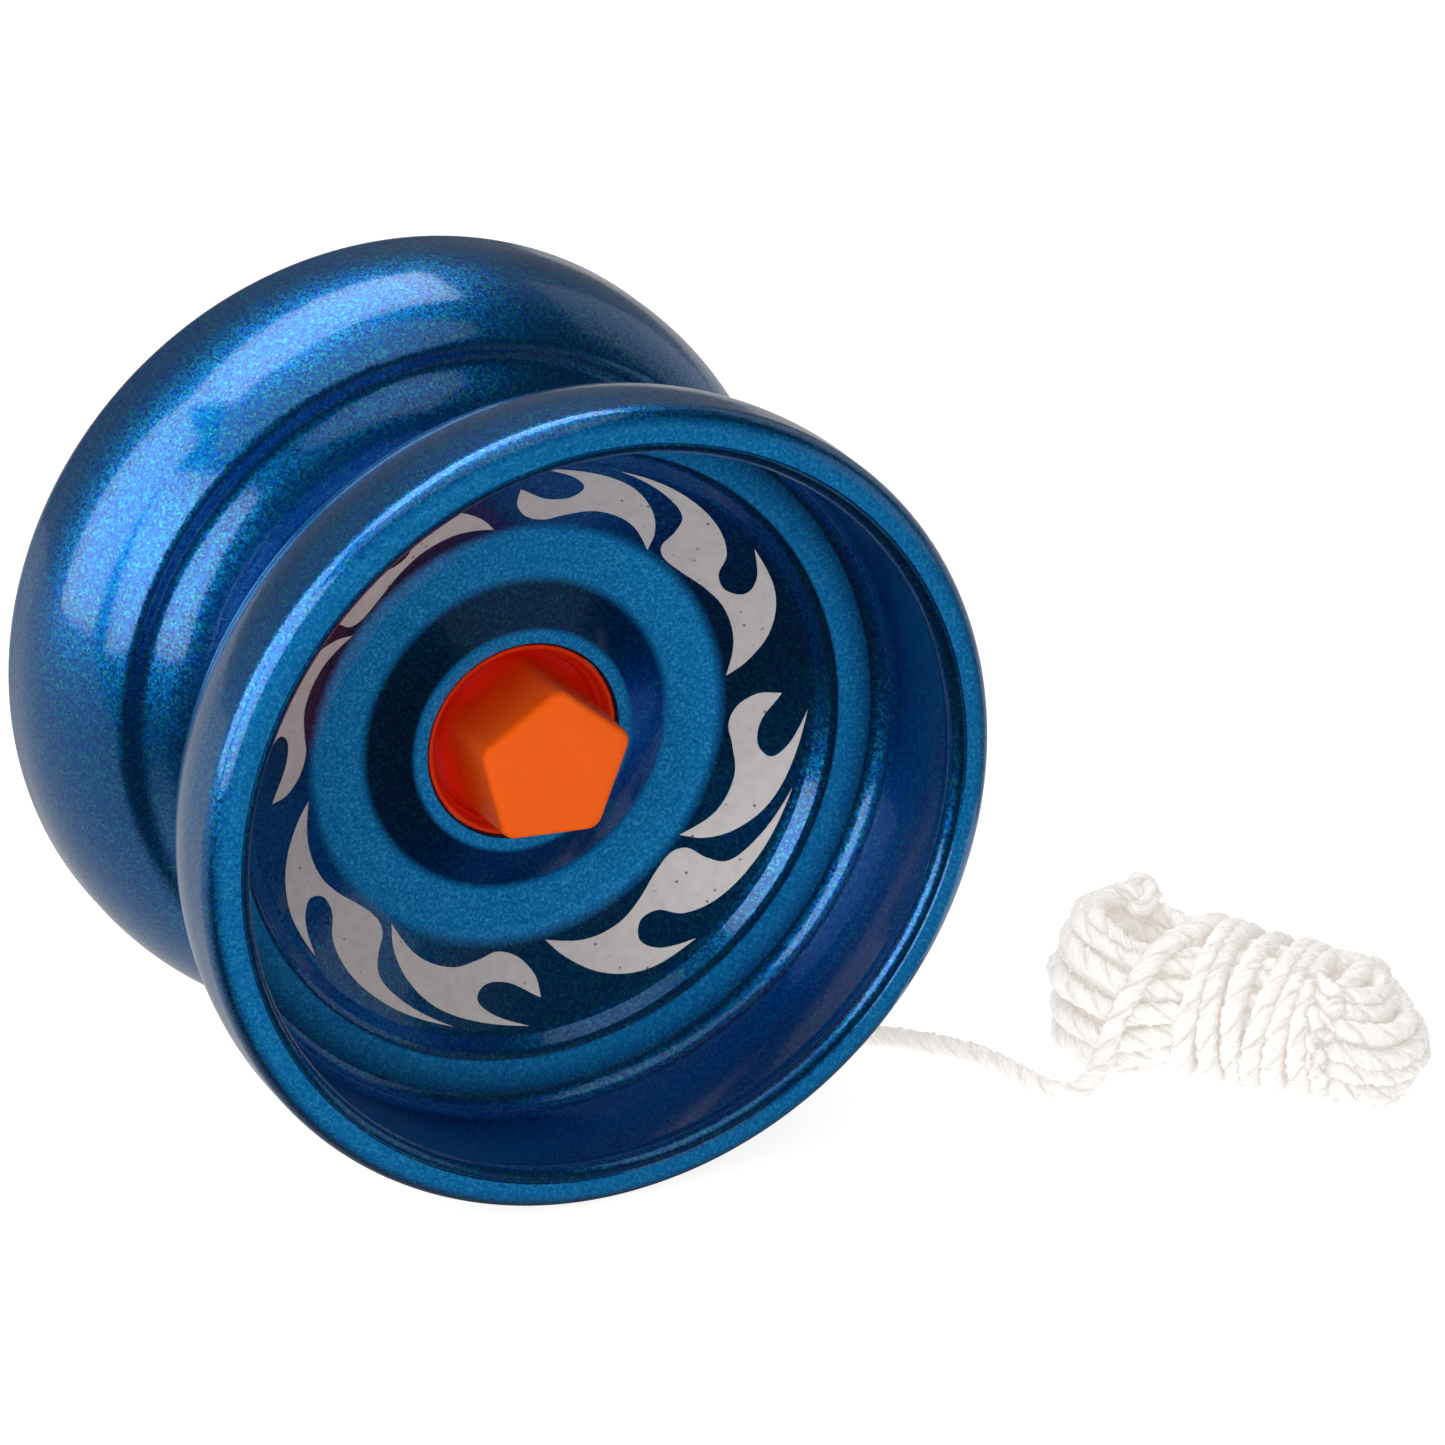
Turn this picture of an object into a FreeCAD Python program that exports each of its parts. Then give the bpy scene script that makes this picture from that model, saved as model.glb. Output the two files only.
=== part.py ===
import FreeCAD, Part
import math
import os
import Sketcher

# A free-spinning yo-yo standing on its two rims, millimetres, +Z up.
# The axle lies along Y at x = 0, the floor is z = 0, and the two halves mirror
# each other about y = 0. "Reach" is a distance from that middle plane outwards.

Vector = FreeCAD.Vector
Rotation = FreeCAD.Rotation
Placement = FreeCAD.Placement

DOC = FreeCAD.newDocument("YoYo")
SHEET = DOC.addObject("Spreadsheet::Sheet", "Sizes")

# Driving dimensions: alias and value.
SIZES = [
    ("rim_radius", 28.0),
    ("gap_half", 2.2),
    ("under_dish_round", 7.5),
    ("bowl_round", 13.0),
    ("rim_outer_round", 1.2),
    ("bead_round", 1.0),
    ("wall_foot_round", 2.2),
    ("cap_radius", 6.77),
    ("cap_gap_face", 2.75),
    ("cap_wall_top", 4.6),
    ("cap_lip_radius", 6.35),
    ("cap_floor_radius", 6.0),
    ("cap_floor_reach", 3.2),
    ("prism_top_reach", 10.3),
    ("prism_corner_radius", 5.9),
    ("prism_corner_round", 1.0),
    ("prism_edge_round", 0.3),
    ("prism_turn", 93.7),
    ("prism_draft", 1.5),
    ("prism_sink", 0.1),
    ("flange_pocket_radius", 4.3),
    ("flange_pocket_reach", 3.2),
    ("insert_radius", 3.0),
    ("insert_foot_reach", 3.35),
    ("insert_top_reach", 8.35),
    ("insert_neck_radius", 2.65),
    ("insert_neck_foot", 5.3),
    ("insert_neck_top", 6.4),
    ("insert_bore_radius", 2.02),
    ("insert_hole_reach", 8.5),
    ("axle_radius", 1.97),
    ("axle_length", 15.6),
    ("axle_chamfer", 0.3),
    ("socket_corner_radius", 1.15),
    ("socket_depth", 2.0),
    ("spacer_sleeve_radius", 3.15),
    ("spacer_bore_radius", 2.03),
    ("spacer_foot_reach", 0.15),
    ("spacer_flange_radius", 4.2),
    ("spacer_flange_reach", 2.4),
    ("spacer_top_reach", 3.15),
    ("pad_inner_radius", 7.95),
    ("pad_outer_radius", 10.35),
    ("pad_face_reach", 2.23),
    ("pad_back_reach", 2.78),
    ("bearing_half", 2.38),
    ("race_outer_radius", 6.35),
    ("race_bore_radius", 3.175),
    ("ball_radius", 1.0),
    ("ball_count", 8.0),
    ("pitch_radius", 4.7625),
    ("groove_radius", 1.03),
    ("groove_half", 0.65),
    ("inner_land_radius", 3.96),
    ("outer_land_radius", 5.56),
    ("seat_radius", 5.97),
    ("seat_reach", 1.88),
    ("cage_inner_radius", 4.3),
    ("cage_outer_radius", 5.2),
    ("cage_half", 1.35),
    ("cage_pocket_radius", 1.06),
    ("shield_inner_radius", 4.06),
    ("shield_outer_radius", 5.94),
    ("shield_reach", 1.9),
    ("shield_thickness", 0.15),
    ("clip_inner_radius", 5.5),
    ("clip_reach", 2.1),
    ("clip_thickness", 0.2),
    ("clip_angle", 320.0),
    ("string_radius", 0.75),
    ("loop_radius", 7.12),
    ("hank_length_half", 14.0),
    ("hank_width_half", 7.2),
    ("hank_height_half", 5.8),
    ("hank_middle_x", 46.6),
    ("hank_middle_y", -19.8),
    ("hank_turn", -46.5),
    ("knot_radius", 2.1),
    ("knot_x", 43.1),
    ("knot_y", -11.8),
    ("knot_z", 11.0),
]

# Turning points of one half's section: name, radius, reach.
STATIONS = [
    ("bore_foot", 6.8, 2.2),
    ("pad_slot_in", 7.9, 2.2),
    ("pad_slot_in_floor", 7.9, 2.8),
    ("pad_slot_out_floor", 10.4, 2.8),
    ("pad_slot_out", 10.4, 2.2),
    ("gap_face_edge", 11.0, 2.2),
    ("shoulder_start", 17.5, 2.95),
    ("shoulder_end", 22.6, 5.75),
    ("band_inner", 22.85, 6.0),
    ("band_outer", 24.1, 6.25),
    ("bowl_start", 24.45, 6.6),
    ("bowl_end", 28.0, 15.9),
    ("rim_side", 28.0, 17.85),
    ("rim_face_outer", 26.8, 19.05),
    ("rim_face_inner", 25.85, 19.05),
    ("face_line", 25.72, 18.9),
    ("bead_start", 25.6, 18.98),
    ("bead_end", 25.05, 17.6),
    ("crease", 25.1, 17.35),
    ("wall_top", 25.45, 16.8),
    ("wall_foot", 25.2, 10.4),
    ("ledge_outer", 24.0, 8.42),
    ("ledge_inner", 21.75, 8.3),
    ("step_foot", 21.3, 8.1),
    ("step_top", 20.45, 7.25),
    ("dish_outer", 20.1, 7.0),
    ("dish_inner", 14.6, 3.85),
    ("floor_outer", 14.1, 3.62),
    ("floor_inner", 11.35, 3.42),
    ("lip_outer", 7.65, 4.8),
    ("lip_top", 7.35, 4.95),
    ("bore_mouth", 6.9, 4.93),
    ("bore_top", 6.8, 4.8),
]


def fill_sheet():
    row = 1
    for alias, value in SIZES:
        SHEET.set("A%d" % row, alias)
        SHEET.set("B%d" % row, str(value))
        SHEET.setAlias("B%d" % row, alias)
        row += 1
    for name, radius, reach in STATIONS:
        for suffix, value in (("radius", radius), ("reach", reach)):
            alias = name + "_" + suffix
            SHEET.set("A%d" % row, alias)
            SHEET.set("B%d" % row, str(value))
            SHEET.setAlias("B%d" % row, alias)
            row += 1
    DOC.recompute()


def size(alias):
    return float(getattr(SHEET, alias))


def origin_item(body, role):
    for item in body.Origin.OriginFeatures:
        if item.Role == role:
            return item
    raise ValueError(role)


def new_body(label):
    body = DOC.addObject("PartDesign::Body", label)
    body.Label = label
    return body


def new_sketch(body, name, role):
    sketch = body.newObject("Sketcher::SketchObject", name)
    sketch.AttachmentSupport = [(origin_item(body, role), "")]
    sketch.MapMode = "FlatFace"
    return sketch


def bind_constraint(sketch, constraint, expression):
    index = sketch.addConstraint(constraint)
    sketch.setExpression("Constraints[%d]" % index, expression)


def place_vertex(sketch, geometry, end, axis_name, value, expression):
    """Ties one coordinate of a sketch vertex to a sheet expression."""
    if abs(value) < 1e-9:
        line = -2 if axis_name == "DistanceX" else -1
        sketch.addConstraint(Sketcher.Constraint("PointOnObject", geometry, end, line))
        return
    constraint = Sketcher.Constraint(axis_name, -1, 1, geometry, end, value)
    bind_constraint(sketch, constraint, expression)


def arc_between(start, end, radius, side):
    """An arc from start to end; side +1 puts its centre left of that direction."""
    chord = end - start
    middle = (start + end) * 0.5
    left = Vector(-chord.y, chord.x, 0).normalize()
    drop = math.sqrt(radius ** 2 - (chord.Length / 2) ** 2)
    centre = middle + left * (side * drop)
    crown = centre - left * (side * radius)
    return Part.Arc(start, crown, end)


def draw_profile(sketch, corners, arcs):
    """Draws a closed outline through corners of (x alias, y alias).

    An alias of None is zero. arcs maps the index of a corner to (radius alias, side)
    for the edge that starts there.
    """
    points = []
    for x_alias, y_alias in corners:
        x_value = size(x_alias) if x_alias else 0.0
        y_value = size(y_alias) if y_alias else 0.0
        points.append(Vector(x_value, y_value, 0))
    count = len(points)
    starts = []
    ends = []
    for index in range(count):
        start = points[index]
        end = points[(index + 1) % count]
        if index in arcs:
            radius_alias, side = arcs[index]
            curve = arc_between(start, end, size(radius_alias), side)
        else:
            curve = Part.LineSegment(start, end)
        geometry = sketch.addGeometry(curve, False)
        forward = sketch.getPoint(geometry, 1).distanceToPoint(start) < 1e-6
        starts.append((geometry, 1 if forward else 2))
        ends.append((geometry, 2 if forward else 1))
    for index in range(count):
        after = (index + 1) % count
        sketch.addConstraint(Sketcher.Constraint("Coincident", *ends[index], *starts[after]))
    for index in range(count):
        geometry, end = starts[index]
        x_alias, y_alias = corners[index]
        place_vertex(sketch, geometry, end, "DistanceX", points[index].x, "Sizes.%s" % x_alias)
        place_vertex(sketch, geometry, end, "DistanceY", points[index].y, "Sizes.%s" % y_alias)
    for index, (radius_alias, side) in arcs.items():
        geometry = starts[index][0]
        constraint = Sketcher.Constraint("Radius", geometry, size(radius_alias))
        bind_constraint(sketch, constraint, "Sizes.%s" % radius_alias)


def revolve_profile(body, name, corners, arcs=None):
    """Revolves an outline of radius and reach about the body's own Y axis."""
    sketch = new_sketch(body, name + "_sketch", "XY_Plane")
    draw_profile(sketch, corners, arcs or {})
    revolution = body.newObject("PartDesign::Revolution", name)
    revolution.Profile = sketch
    revolution.ReferenceAxis = (sketch, ["V_Axis"])
    revolution.Angle = 360
    DOC.recompute()
    return revolution


def regular_polygon(sketch, sides, radius_alias, turn_alias):
    """A regular polygon about the sketch origin, its first corner at a given turn."""
    radius = size(radius_alias)
    turn = math.radians(size(turn_alias)) if turn_alias else 0.0
    corners = []
    for index in range(sides):
        angle = turn + index * 2 * math.pi / sides
        corners.append(Vector(radius * math.cos(angle), radius * math.sin(angle), 0))
    circle = sketch.addGeometry(Part.Circle(Vector(0, 0, 0), Vector(0, 0, 1), radius), True)
    sketch.addConstraint(Sketcher.Constraint("Coincident", circle, 3, -1, 1))
    bind_constraint(sketch, Sketcher.Constraint("Radius", circle, radius), "Sizes.%s" % radius_alias)
    lines = []
    for index in range(sides):
        line = Part.LineSegment(corners[index], corners[(index + 1) % sides])
        lines.append(sketch.addGeometry(line, False))
    for index in range(sides):
        after = lines[(index + 1) % sides]
        sketch.addConstraint(Sketcher.Constraint("Coincident", lines[index], 2, after, 1))
        sketch.addConstraint(Sketcher.Constraint("PointOnObject", lines[index], 1, circle))
    for index in range(1, sides):
        sketch.addConstraint(Sketcher.Constraint("Equal", lines[0], lines[index]))
    spoke = sketch.addGeometry(Part.LineSegment(Vector(0, 0, 0), corners[0]), True)
    sketch.addConstraint(Sketcher.Constraint("Coincident", spoke, 1, -1, 1))
    sketch.addConstraint(Sketcher.Constraint("Coincident", spoke, 2, lines[0], 1))
    if turn_alias:
        angle = Sketcher.Constraint("Angle", -1, 1, spoke, 1, turn)
        bind_constraint(sketch, angle, "Sizes.%s * 1 deg" % turn_alias)
    else:
        sketch.addConstraint(Sketcher.Constraint("PointOnObject", spoke, 2, -1))


def stand_on_axle(item, front, reach_expression="0"):
    """Puts a piece on the axle, its own +Y pointing outwards at the front or the rear."""
    turn = 180 if front else 0
    item.Placement = Placement(Vector(0, 0, 0), Rotation(Vector(0, 0, 1), turn))
    sign = "-1" if front else "1"
    item.setExpression("Placement.Base.y", "%s * (%s)" % (sign, reach_expression))
    item.setExpression("Placement.Base.z", "Sizes.rim_radius")


# ------------------------------------------------------------------ the two halves

HALF_ARCS = {
    "shoulder_start": ("under_dish_round", 1),
    "bowl_start": ("bowl_round", 1),
    "rim_side": ("rim_outer_round", 1),
    "bead_start": ("bead_round", 1),
    "wall_foot": ("wall_foot_round", -1),
}


def make_half(label, front):
    """One die-cast half: hub, dished web, ledge, bowl wall and beaded rim."""
    body = new_body(label)
    names = [station[0] for station in STATIONS]
    corners = [(name + "_radius", name + "_reach") for name in names]
    arcs = {names.index(name): arc for name, arc in HALF_ARCS.items()}
    revolve_profile(body, label + "_shell", corners, arcs)
    stand_on_axle(body, front)
    return body


# ------------------------------------------------------------------ hub caps

def upright_edges(shape, top_reach):
    """Names of the prism's corner edges, which reach from the cap floor to its top."""
    names = []
    for index, edge in enumerate(shape.Edges):
        low = min(vertex.Point.y for vertex in edge.Vertexes)
        high = max(vertex.Point.y for vertex in edge.Vertexes)
        if abs(high - top_reach) < 0.01 and high - low > 3.0:
            names.append("Edge%d" % (index + 1))
    return names


def top_edges(shape, top_reach):
    """Names of the edges round the prism's top face."""
    names = []
    for index, edge in enumerate(shape.Edges):
        reaches = [vertex.Point.y for vertex in edge.Vertexes]
        if all(abs(reach - top_reach) < 0.01 for reach in reaches):
            names.append("Edge%d" % (index + 1))
    return names


def add_fillet(body, name, base, edges, radius_alias):
    fillet = body.newObject("PartDesign::Fillet", name)
    fillet.Base = (base, edges)
    fillet.setExpression("Radius", "Sizes.%s" % radius_alias)
    DOC.recompute()
    return fillet


def make_hub_cap(label, front):
    """The moulded cap in the hub: a shallow cup with a five-sided grip prism."""
    body = new_body(label)
    cup = [
        (None, "cap_gap_face"),
        ("cap_radius", "cap_gap_face"),
        ("cap_radius", "cap_wall_top"),
        ("cap_lip_radius", "cap_wall_top"),
        ("cap_floor_radius", "cap_floor_reach"),
        (None, "cap_floor_reach"),
    ]
    revolve_profile(body, label + "_cup", cup)

    sketch = new_sketch(body, label + "_prism_sketch", "XZ_Plane")
    sketch.setExpression("AttachmentOffset.Base.z", "-Sizes.cap_gap_face - Sizes.prism_sink")
    regular_polygon(sketch, 5, "prism_corner_radius", "prism_turn")
    prism = body.newObject("PartDesign::Pad", label + "_prism")
    prism.Profile = sketch
    prism.Reversed = True
    length = "Sizes.prism_top_reach - Sizes.cap_gap_face - Sizes.prism_sink"
    prism.setExpression("Length", length)
    prism.setExpression("TaperAngle", "-Sizes.prism_draft")
    DOC.recompute()

    top = size("prism_top_reach")
    corners = upright_edges(prism.Shape, top)
    rounded = add_fillet(body, label + "_corners", prism, corners, "prism_corner_round")
    rims = top_edges(rounded.Shape, top)
    add_fillet(body, label + "_edges", rounded, rims, "prism_edge_round")

    hole = new_sketch(body, label + "_hole_sketch", "XY_Plane")
    outline = [
        (None, "gap_half"),
        ("flange_pocket_radius", "gap_half"),
        ("flange_pocket_radius", "flange_pocket_reach"),
        ("insert_radius", "flange_pocket_reach"),
        ("insert_radius", "insert_hole_reach"),
        (None, "insert_hole_reach"),
    ]
    draw_profile(hole, outline, {})
    groove = body.newObject("PartDesign::Groove", label + "_hole")
    groove.Profile = hole
    groove.ReferenceAxis = (hole, ["V_Axis"])
    groove.Angle = 360
    DOC.recompute()
    stand_on_axle(body, front)
    return body


# ------------------------------------------------------------------ axle parts

def make_insert(label, front):
    """The brass threaded insert moulded into a hub cap, with a retaining neck."""
    body = new_body(label)
    outline = [
        ("insert_bore_radius", "insert_foot_reach"),
        ("insert_radius", "insert_foot_reach"),
        ("insert_radius", "insert_neck_foot"),
        ("insert_neck_radius", "insert_neck_foot"),
        ("insert_neck_radius", "insert_neck_top"),
        ("insert_radius", "insert_neck_top"),
        ("insert_radius", "insert_top_reach"),
        ("insert_bore_radius", "insert_top_reach"),
    ]
    revolve_profile(body, label + "_turned", outline)
    stand_on_axle(body, front)
    return body


def make_spacer(label, front):
    """A flanged aluminium spacer: its sleeve centres the bearing's inner race."""
    body = new_body(label)
    outline = [
        ("spacer_bore_radius", "spacer_foot_reach"),
        ("spacer_sleeve_radius", "spacer_foot_reach"),
        ("spacer_sleeve_radius", "spacer_flange_reach"),
        ("spacer_flange_radius", "spacer_flange_reach"),
        ("spacer_flange_radius", "spacer_top_reach"),
        ("spacer_bore_radius", "spacer_top_reach"),
    ]
    revolve_profile(body, label + "_turned", outline)
    stand_on_axle(body, front)
    return body


def make_pad(label, front):
    """A silicone response ring, seated in the half's slot."""
    body = new_body(label)
    outline = [
        ("pad_inner_radius", "pad_face_reach"),
        ("pad_outer_radius", "pad_face_reach"),
        ("pad_outer_radius", "pad_back_reach"),
        ("pad_inner_radius", "pad_back_reach"),
    ]
    revolve_profile(body, label + "_ring", outline)
    stand_on_axle(body, front)
    return body


def make_axle():
    """The M4 stud axle, chamfered at both ends, with a hexagon socket in its front end."""
    body = new_body("axle")
    rod = body.newObject("PartDesign::AdditiveCylinder", "axle_rod")
    rod.setExpression("Radius", "Sizes.axle_radius")
    rod.setExpression("Height", "Sizes.axle_length")
    DOC.recompute()
    rims = []
    for index, edge in enumerate(rod.Shape.Edges):
        if isinstance(edge.Curve, Part.Circle):
            rims.append("Edge%d" % (index + 1))
    chamfer = body.newObject("PartDesign::Chamfer", "axle_chamfers")
    chamfer.Base = (rod, rims)
    chamfer.setExpression("Size", "Sizes.axle_chamfer")
    DOC.recompute()
    whole = chamfer.Shape.Volume
    sketch = new_sketch(body, "axle_socket_sketch", "XY_Plane")
    regular_polygon(sketch, 6, "socket_corner_radius", None)
    socket = body.newObject("PartDesign::Pocket", "axle_socket")
    socket.Profile = sketch
    socket.Reversed = True
    socket.setExpression("Length", "Sizes.socket_depth")
    DOC.recompute()
    if socket.Shape.Volume > whole - 1.0:
        raise ValueError("the axle's socket cut nothing")
    body.Placement = Placement(Vector(0, 0, 0), Rotation(Vector(1, 0, 0), -90))
    body.setExpression("Placement.Base.y", "-Sizes.axle_length / 2")
    body.setExpression("Placement.Base.z", "Sizes.rim_radius")
    return body


# ------------------------------------------------------------------ the ball bearing

def add_race_size(alias, expression):
    row = add_race_size.row
    SHEET.set("C%d" % row, alias)
    SHEET.set("D%d" % row, expression)
    SHEET.setAlias("D%d" % row, alias)
    add_race_size.row += 1


add_race_size.row = 1


def fill_bearing_sizes():
    """Reaches of the races' steps, counted from the bearing's front face."""
    add_race_size("bearing_width", "=2 * bearing_half")
    add_race_size("groove_low", "=bearing_half - groove_half")
    add_race_size("groove_high", "=bearing_half + groove_half")
    add_race_size("seat_low", "=bearing_half - seat_reach")
    add_race_size("seat_high", "=bearing_half + seat_reach")
    DOC.recompute()


def make_outer_race():
    body = new_body("bearing_outer_race")
    outline = [
        ("race_outer_radius", None),
        ("race_outer_radius", "bearing_width"),
        ("seat_radius", "bearing_width"),
        ("seat_radius", "seat_high"),
        ("outer_land_radius", "seat_high"),
        ("outer_land_radius", "groove_high"),
        ("outer_land_radius", "groove_low"),
        ("outer_land_radius", "seat_low"),
        ("seat_radius", "seat_low"),
        ("seat_radius", None),
    ]
    revolve_profile(body, "outer_race_ring", outline, {5: ("groove_radius", -1)})
    stand_on_axle(body, False, "-Sizes.bearing_half")
    return body


def make_inner_race():
    body = new_body("bearing_inner_race")
    outline = [
        ("race_bore_radius", None),
        ("inner_land_radius", None),
        ("inner_land_radius", "groove_low"),
        ("inner_land_radius", "groove_high"),
        ("inner_land_radius", "bearing_width"),
        ("race_bore_radius", "bearing_width"),
    ]
    revolve_profile(body, "inner_race_ring", outline, {2: ("groove_radius", -1)})
    stand_on_axle(body, False, "-Sizes.bearing_half")
    return body


def spheres_on_pitch(name, radius_alias):
    """One sphere per ball place, spaced round the pitch circle."""
    spheres = []
    count = int(size("ball_count"))
    for index in range(count):
        sphere = DOC.addObject("Part::Sphere", "%s_%d" % (name, index + 1))
        sphere.setExpression("Radius", "Sizes.%s" % radius_alias)
        angle = "%d * 360 deg / Sizes.ball_count" % index
        sphere.setExpression("Placement.Base.x", "Sizes.pitch_radius * cos(%s)" % angle)
        height = "Sizes.rim_radius + Sizes.pitch_radius * sin(%s)" % angle
        sphere.setExpression("Placement.Base.z", height)
        spheres.append(sphere)
    return spheres


def make_balls():
    balls = DOC.addObject("Part::Compound", "bearing_balls")
    balls.Links = spheres_on_pitch("ball", "ball_radius")
    balls.Label = "bearing_balls"
    return balls


def turned_cylinder(name, radius_alias, low_expression, length_expression):
    """A cylinder along the axle, from a given reach."""
    cylinder = DOC.addObject("Part::Cylinder", name)
    cylinder.setExpression("Radius", "Sizes.%s" % radius_alias)
    cylinder.setExpression("Height", length_expression)
    cylinder.Placement = Placement(Vector(0, 0, 0), Rotation(Vector(1, 0, 0), -90))
    cylinder.setExpression("Placement.Base.y", low_expression)
    cylinder.setExpression("Placement.Base.z", "Sizes.rim_radius")
    return cylinder


def make_ring(label, inner_alias, outer_alias, low_expression, length_expression):
    """A plain flat ring on the axle."""
    outer = turned_cylinder(label + "_outer", outer_alias, low_expression, length_expression)
    inner = turned_cylinder(label + "_inner", inner_alias, low_expression, length_expression)
    ring = DOC.addObject("Part::Cut", label)
    ring.Base = outer
    ring.Tool = inner
    return ring


def make_cage():
    """The ball cage: a ring with a round pocket at every ball."""
    ring = make_ring("cage_ring", "cage_inner_radius", "cage_outer_radius",
                     "-Sizes.cage_half", "2 * Sizes.cage_half")
    pockets = DOC.addObject("Part::Compound", "cage_pockets")
    pockets.Links = spheres_on_pitch("cage_pocket", "cage_pocket_radius")
    cage = DOC.addObject("Part::Cut", "bearing_cage")
    cage.Base = ring
    cage.Tool = pockets
    cage.Label = "bearing_cage"
    return cage


def outer_reach(front, reach_alias, thickness_alias):
    """Low end along Y of a flat ring on the front or the rear side of the bearing."""
    if front:
        return "-Sizes.%s - Sizes.%s" % (reach_alias, thickness_alias)
    return "Sizes.%s" % reach_alias


def make_shield(label, front):
    ring = make_ring(label, "shield_inner_radius", "shield_outer_radius",
                     outer_reach(front, "shield_reach", "shield_thickness"),
                     "Sizes.shield_thickness")
    ring.Label = label
    return ring


def make_clip(label, front):
    """The open spring ring that keeps a shield in the outer race."""
    ring = make_ring(label, "clip_inner_radius", "shield_outer_radius",
                     outer_reach(front, "clip_reach", "clip_thickness"),
                     "Sizes.clip_thickness")
    ring.Base.setExpression("Angle", "Sizes.clip_angle")
    ring.Label = label
    return ring


# ------------------------------------------------------------------ the string

# The free stretch of string, from the loop round the bearing down to the floor and
# out to the hank: it curves towards the front, folds back once and climbs on.
LEAD_ROUTE = [
    (4.55, 0.0, 21.50),
    (8.70, 0.0, 15.50),
    (13.10, -0.3, 9.00),
    (17.30, -1.2, 3.60),
    (22.30, -2.9, 0.98),
    (27.20, -5.8, 0.78),
    (30.90, -9.8, 0.78),
    (32.40, -14.1, 0.78),
    (32.90, -17.9, 0.80),
    (34.40, -20.2, 1.20),
    (36.70, -19.1, 2.80),
    (38.30, -17.2, 4.30),
]


def rounded_path(route):
    """Straight runs joined by tangent arcs; returns the edges and the arcs' radii."""
    points = [Vector(*point) for point in route]
    edges = []
    radii = []
    last = points[0]
    for index in range(1, len(points) - 1):
        corner = points[index]
        back = points[index - 1] - corner
        ahead = points[index + 1] - corner
        turn = math.pi - back.getAngle(ahead)
        cut = 0.45 * min(back.Length, ahead.Length)
        radius = cut / math.tan(turn / 2)
        back.normalize()
        ahead.normalize()
        start = corner + back * cut
        end = corner + ahead * cut
        inward = (back + ahead).normalize()
        crown = corner + inward * (radius / math.cos(turn / 2) - radius)
        edges.append(Part.LineSegment(last, start).toShape())
        edges.append(Part.Arc(start, crown, end).toShape())
        radii.append(radius)
        last = end
    edges.append(Part.LineSegment(last, points[-1]).toShape())
    return edges, radii


def make_string_lead():
    """A round tube along the lead's route."""
    radius = size("string_radius")
    edges, radii = rounded_path(LEAD_ROUTE)
    path = Part.Wire(edges)
    start = Vector(*LEAD_ROUTE[0])
    heading = Vector(*LEAD_ROUTE[1]) - start
    circle = Part.Circle(start, heading, radius).toShape()
    tube = path.makePipeShell([Part.Wire([circle])], True, True)
    lead = DOC.addObject("Part::Feature", "string_lead")
    lead.Label = "string_lead"
    lead.Shape = tube
    lead.Placement = Placement()
    expected = math.pi * radius ** 2 * path.Length
    print("lead length %.1f, volume %.2f of %.2f" % (path.Length, tube.Volume, expected))
    print("lead bend radii:", ", ".join("%.1f" % value for value in radii))
    return lead


def make_axle_loop():
    """The closed string loop round the bearing's outer race."""
    loop = DOC.addObject("Part::Torus", "string_axle_loop")
    loop.Label = "string_axle_loop"
    loop.setExpression("Radius1", "Sizes.loop_radius")
    loop.setExpression("Radius2", "Sizes.string_radius")
    loop.Placement = Placement(Vector(0, 0, 0), Rotation(Vector(1, 0, 0), 90))
    loop.setExpression("Placement.Base.z", "Sizes.rim_radius")
    return loop


# Sections of the hank: place along it, width and height, as shares of its half sizes.
HANK_SECTIONS = [
    (-1.0, 0.62, 0.72),
    (-0.82, 0.84, 0.94),
    (-0.45, 1.00, 1.00),
    (0.05, 0.94, 0.96),
    (0.50, 1.00, 0.88),
    (0.84, 0.82, 0.78),
    (1.0, 0.52, 0.60),
]


def make_hank():
    """The outer shape of the wound hank; every section rests on the floor."""
    sections = []
    for index, (along, width, height) in enumerate(HANK_SECTIONS):
        ellipse = DOC.addObject("Part::Ellipse", "hank_section_%d" % (index + 1))
        ellipse.setExpression("MajorRadius", "Sizes.hank_width_half * %s" % width)
        ellipse.setExpression("MinorRadius", "Sizes.hank_height_half * %s" % height)
        across = Rotation(Vector(0, 1, 0), Vector(0, 0, 1), Vector(1, 0, 0), "XYZ")
        ellipse.Placement = Placement(Vector(0, 0, 0), across)
        ellipse.setExpression("Placement.Base.x", "Sizes.hank_length_half * %s" % along)
        ellipse.setExpression("Placement.Base.z", "Sizes.hank_height_half * %s" % height)
        sections.append(ellipse)
    hank = DOC.addObject("Part::Loft", "string_hank")
    hank.Label = "string_hank"
    hank.Sections = sections
    hank.Solid = True
    hank.Ruled = True
    turn = Rotation(Vector(0, 0, 1), size("hank_turn"))
    hank.Placement = Placement(Vector(0, 0, 0), turn)
    hank.setExpression("Placement.Base.x", "Sizes.hank_middle_x")
    hank.setExpression("Placement.Base.y", "Sizes.hank_middle_y")
    return hank


def make_knot():
    """The knot at the string's free end, on top of the hank."""
    knot = DOC.addObject("Part::Sphere", "string_end_knot")
    knot.Label = "string_end_knot"
    knot.setExpression("Radius", "Sizes.knot_radius")
    knot.setExpression("Placement.Base.x", "Sizes.knot_x")
    knot.setExpression("Placement.Base.y", "Sizes.knot_y")
    knot.setExpression("Placement.Base.z", "Sizes.knot_z")
    return knot


# ------------------------------------------------------------------ build and export

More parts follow.
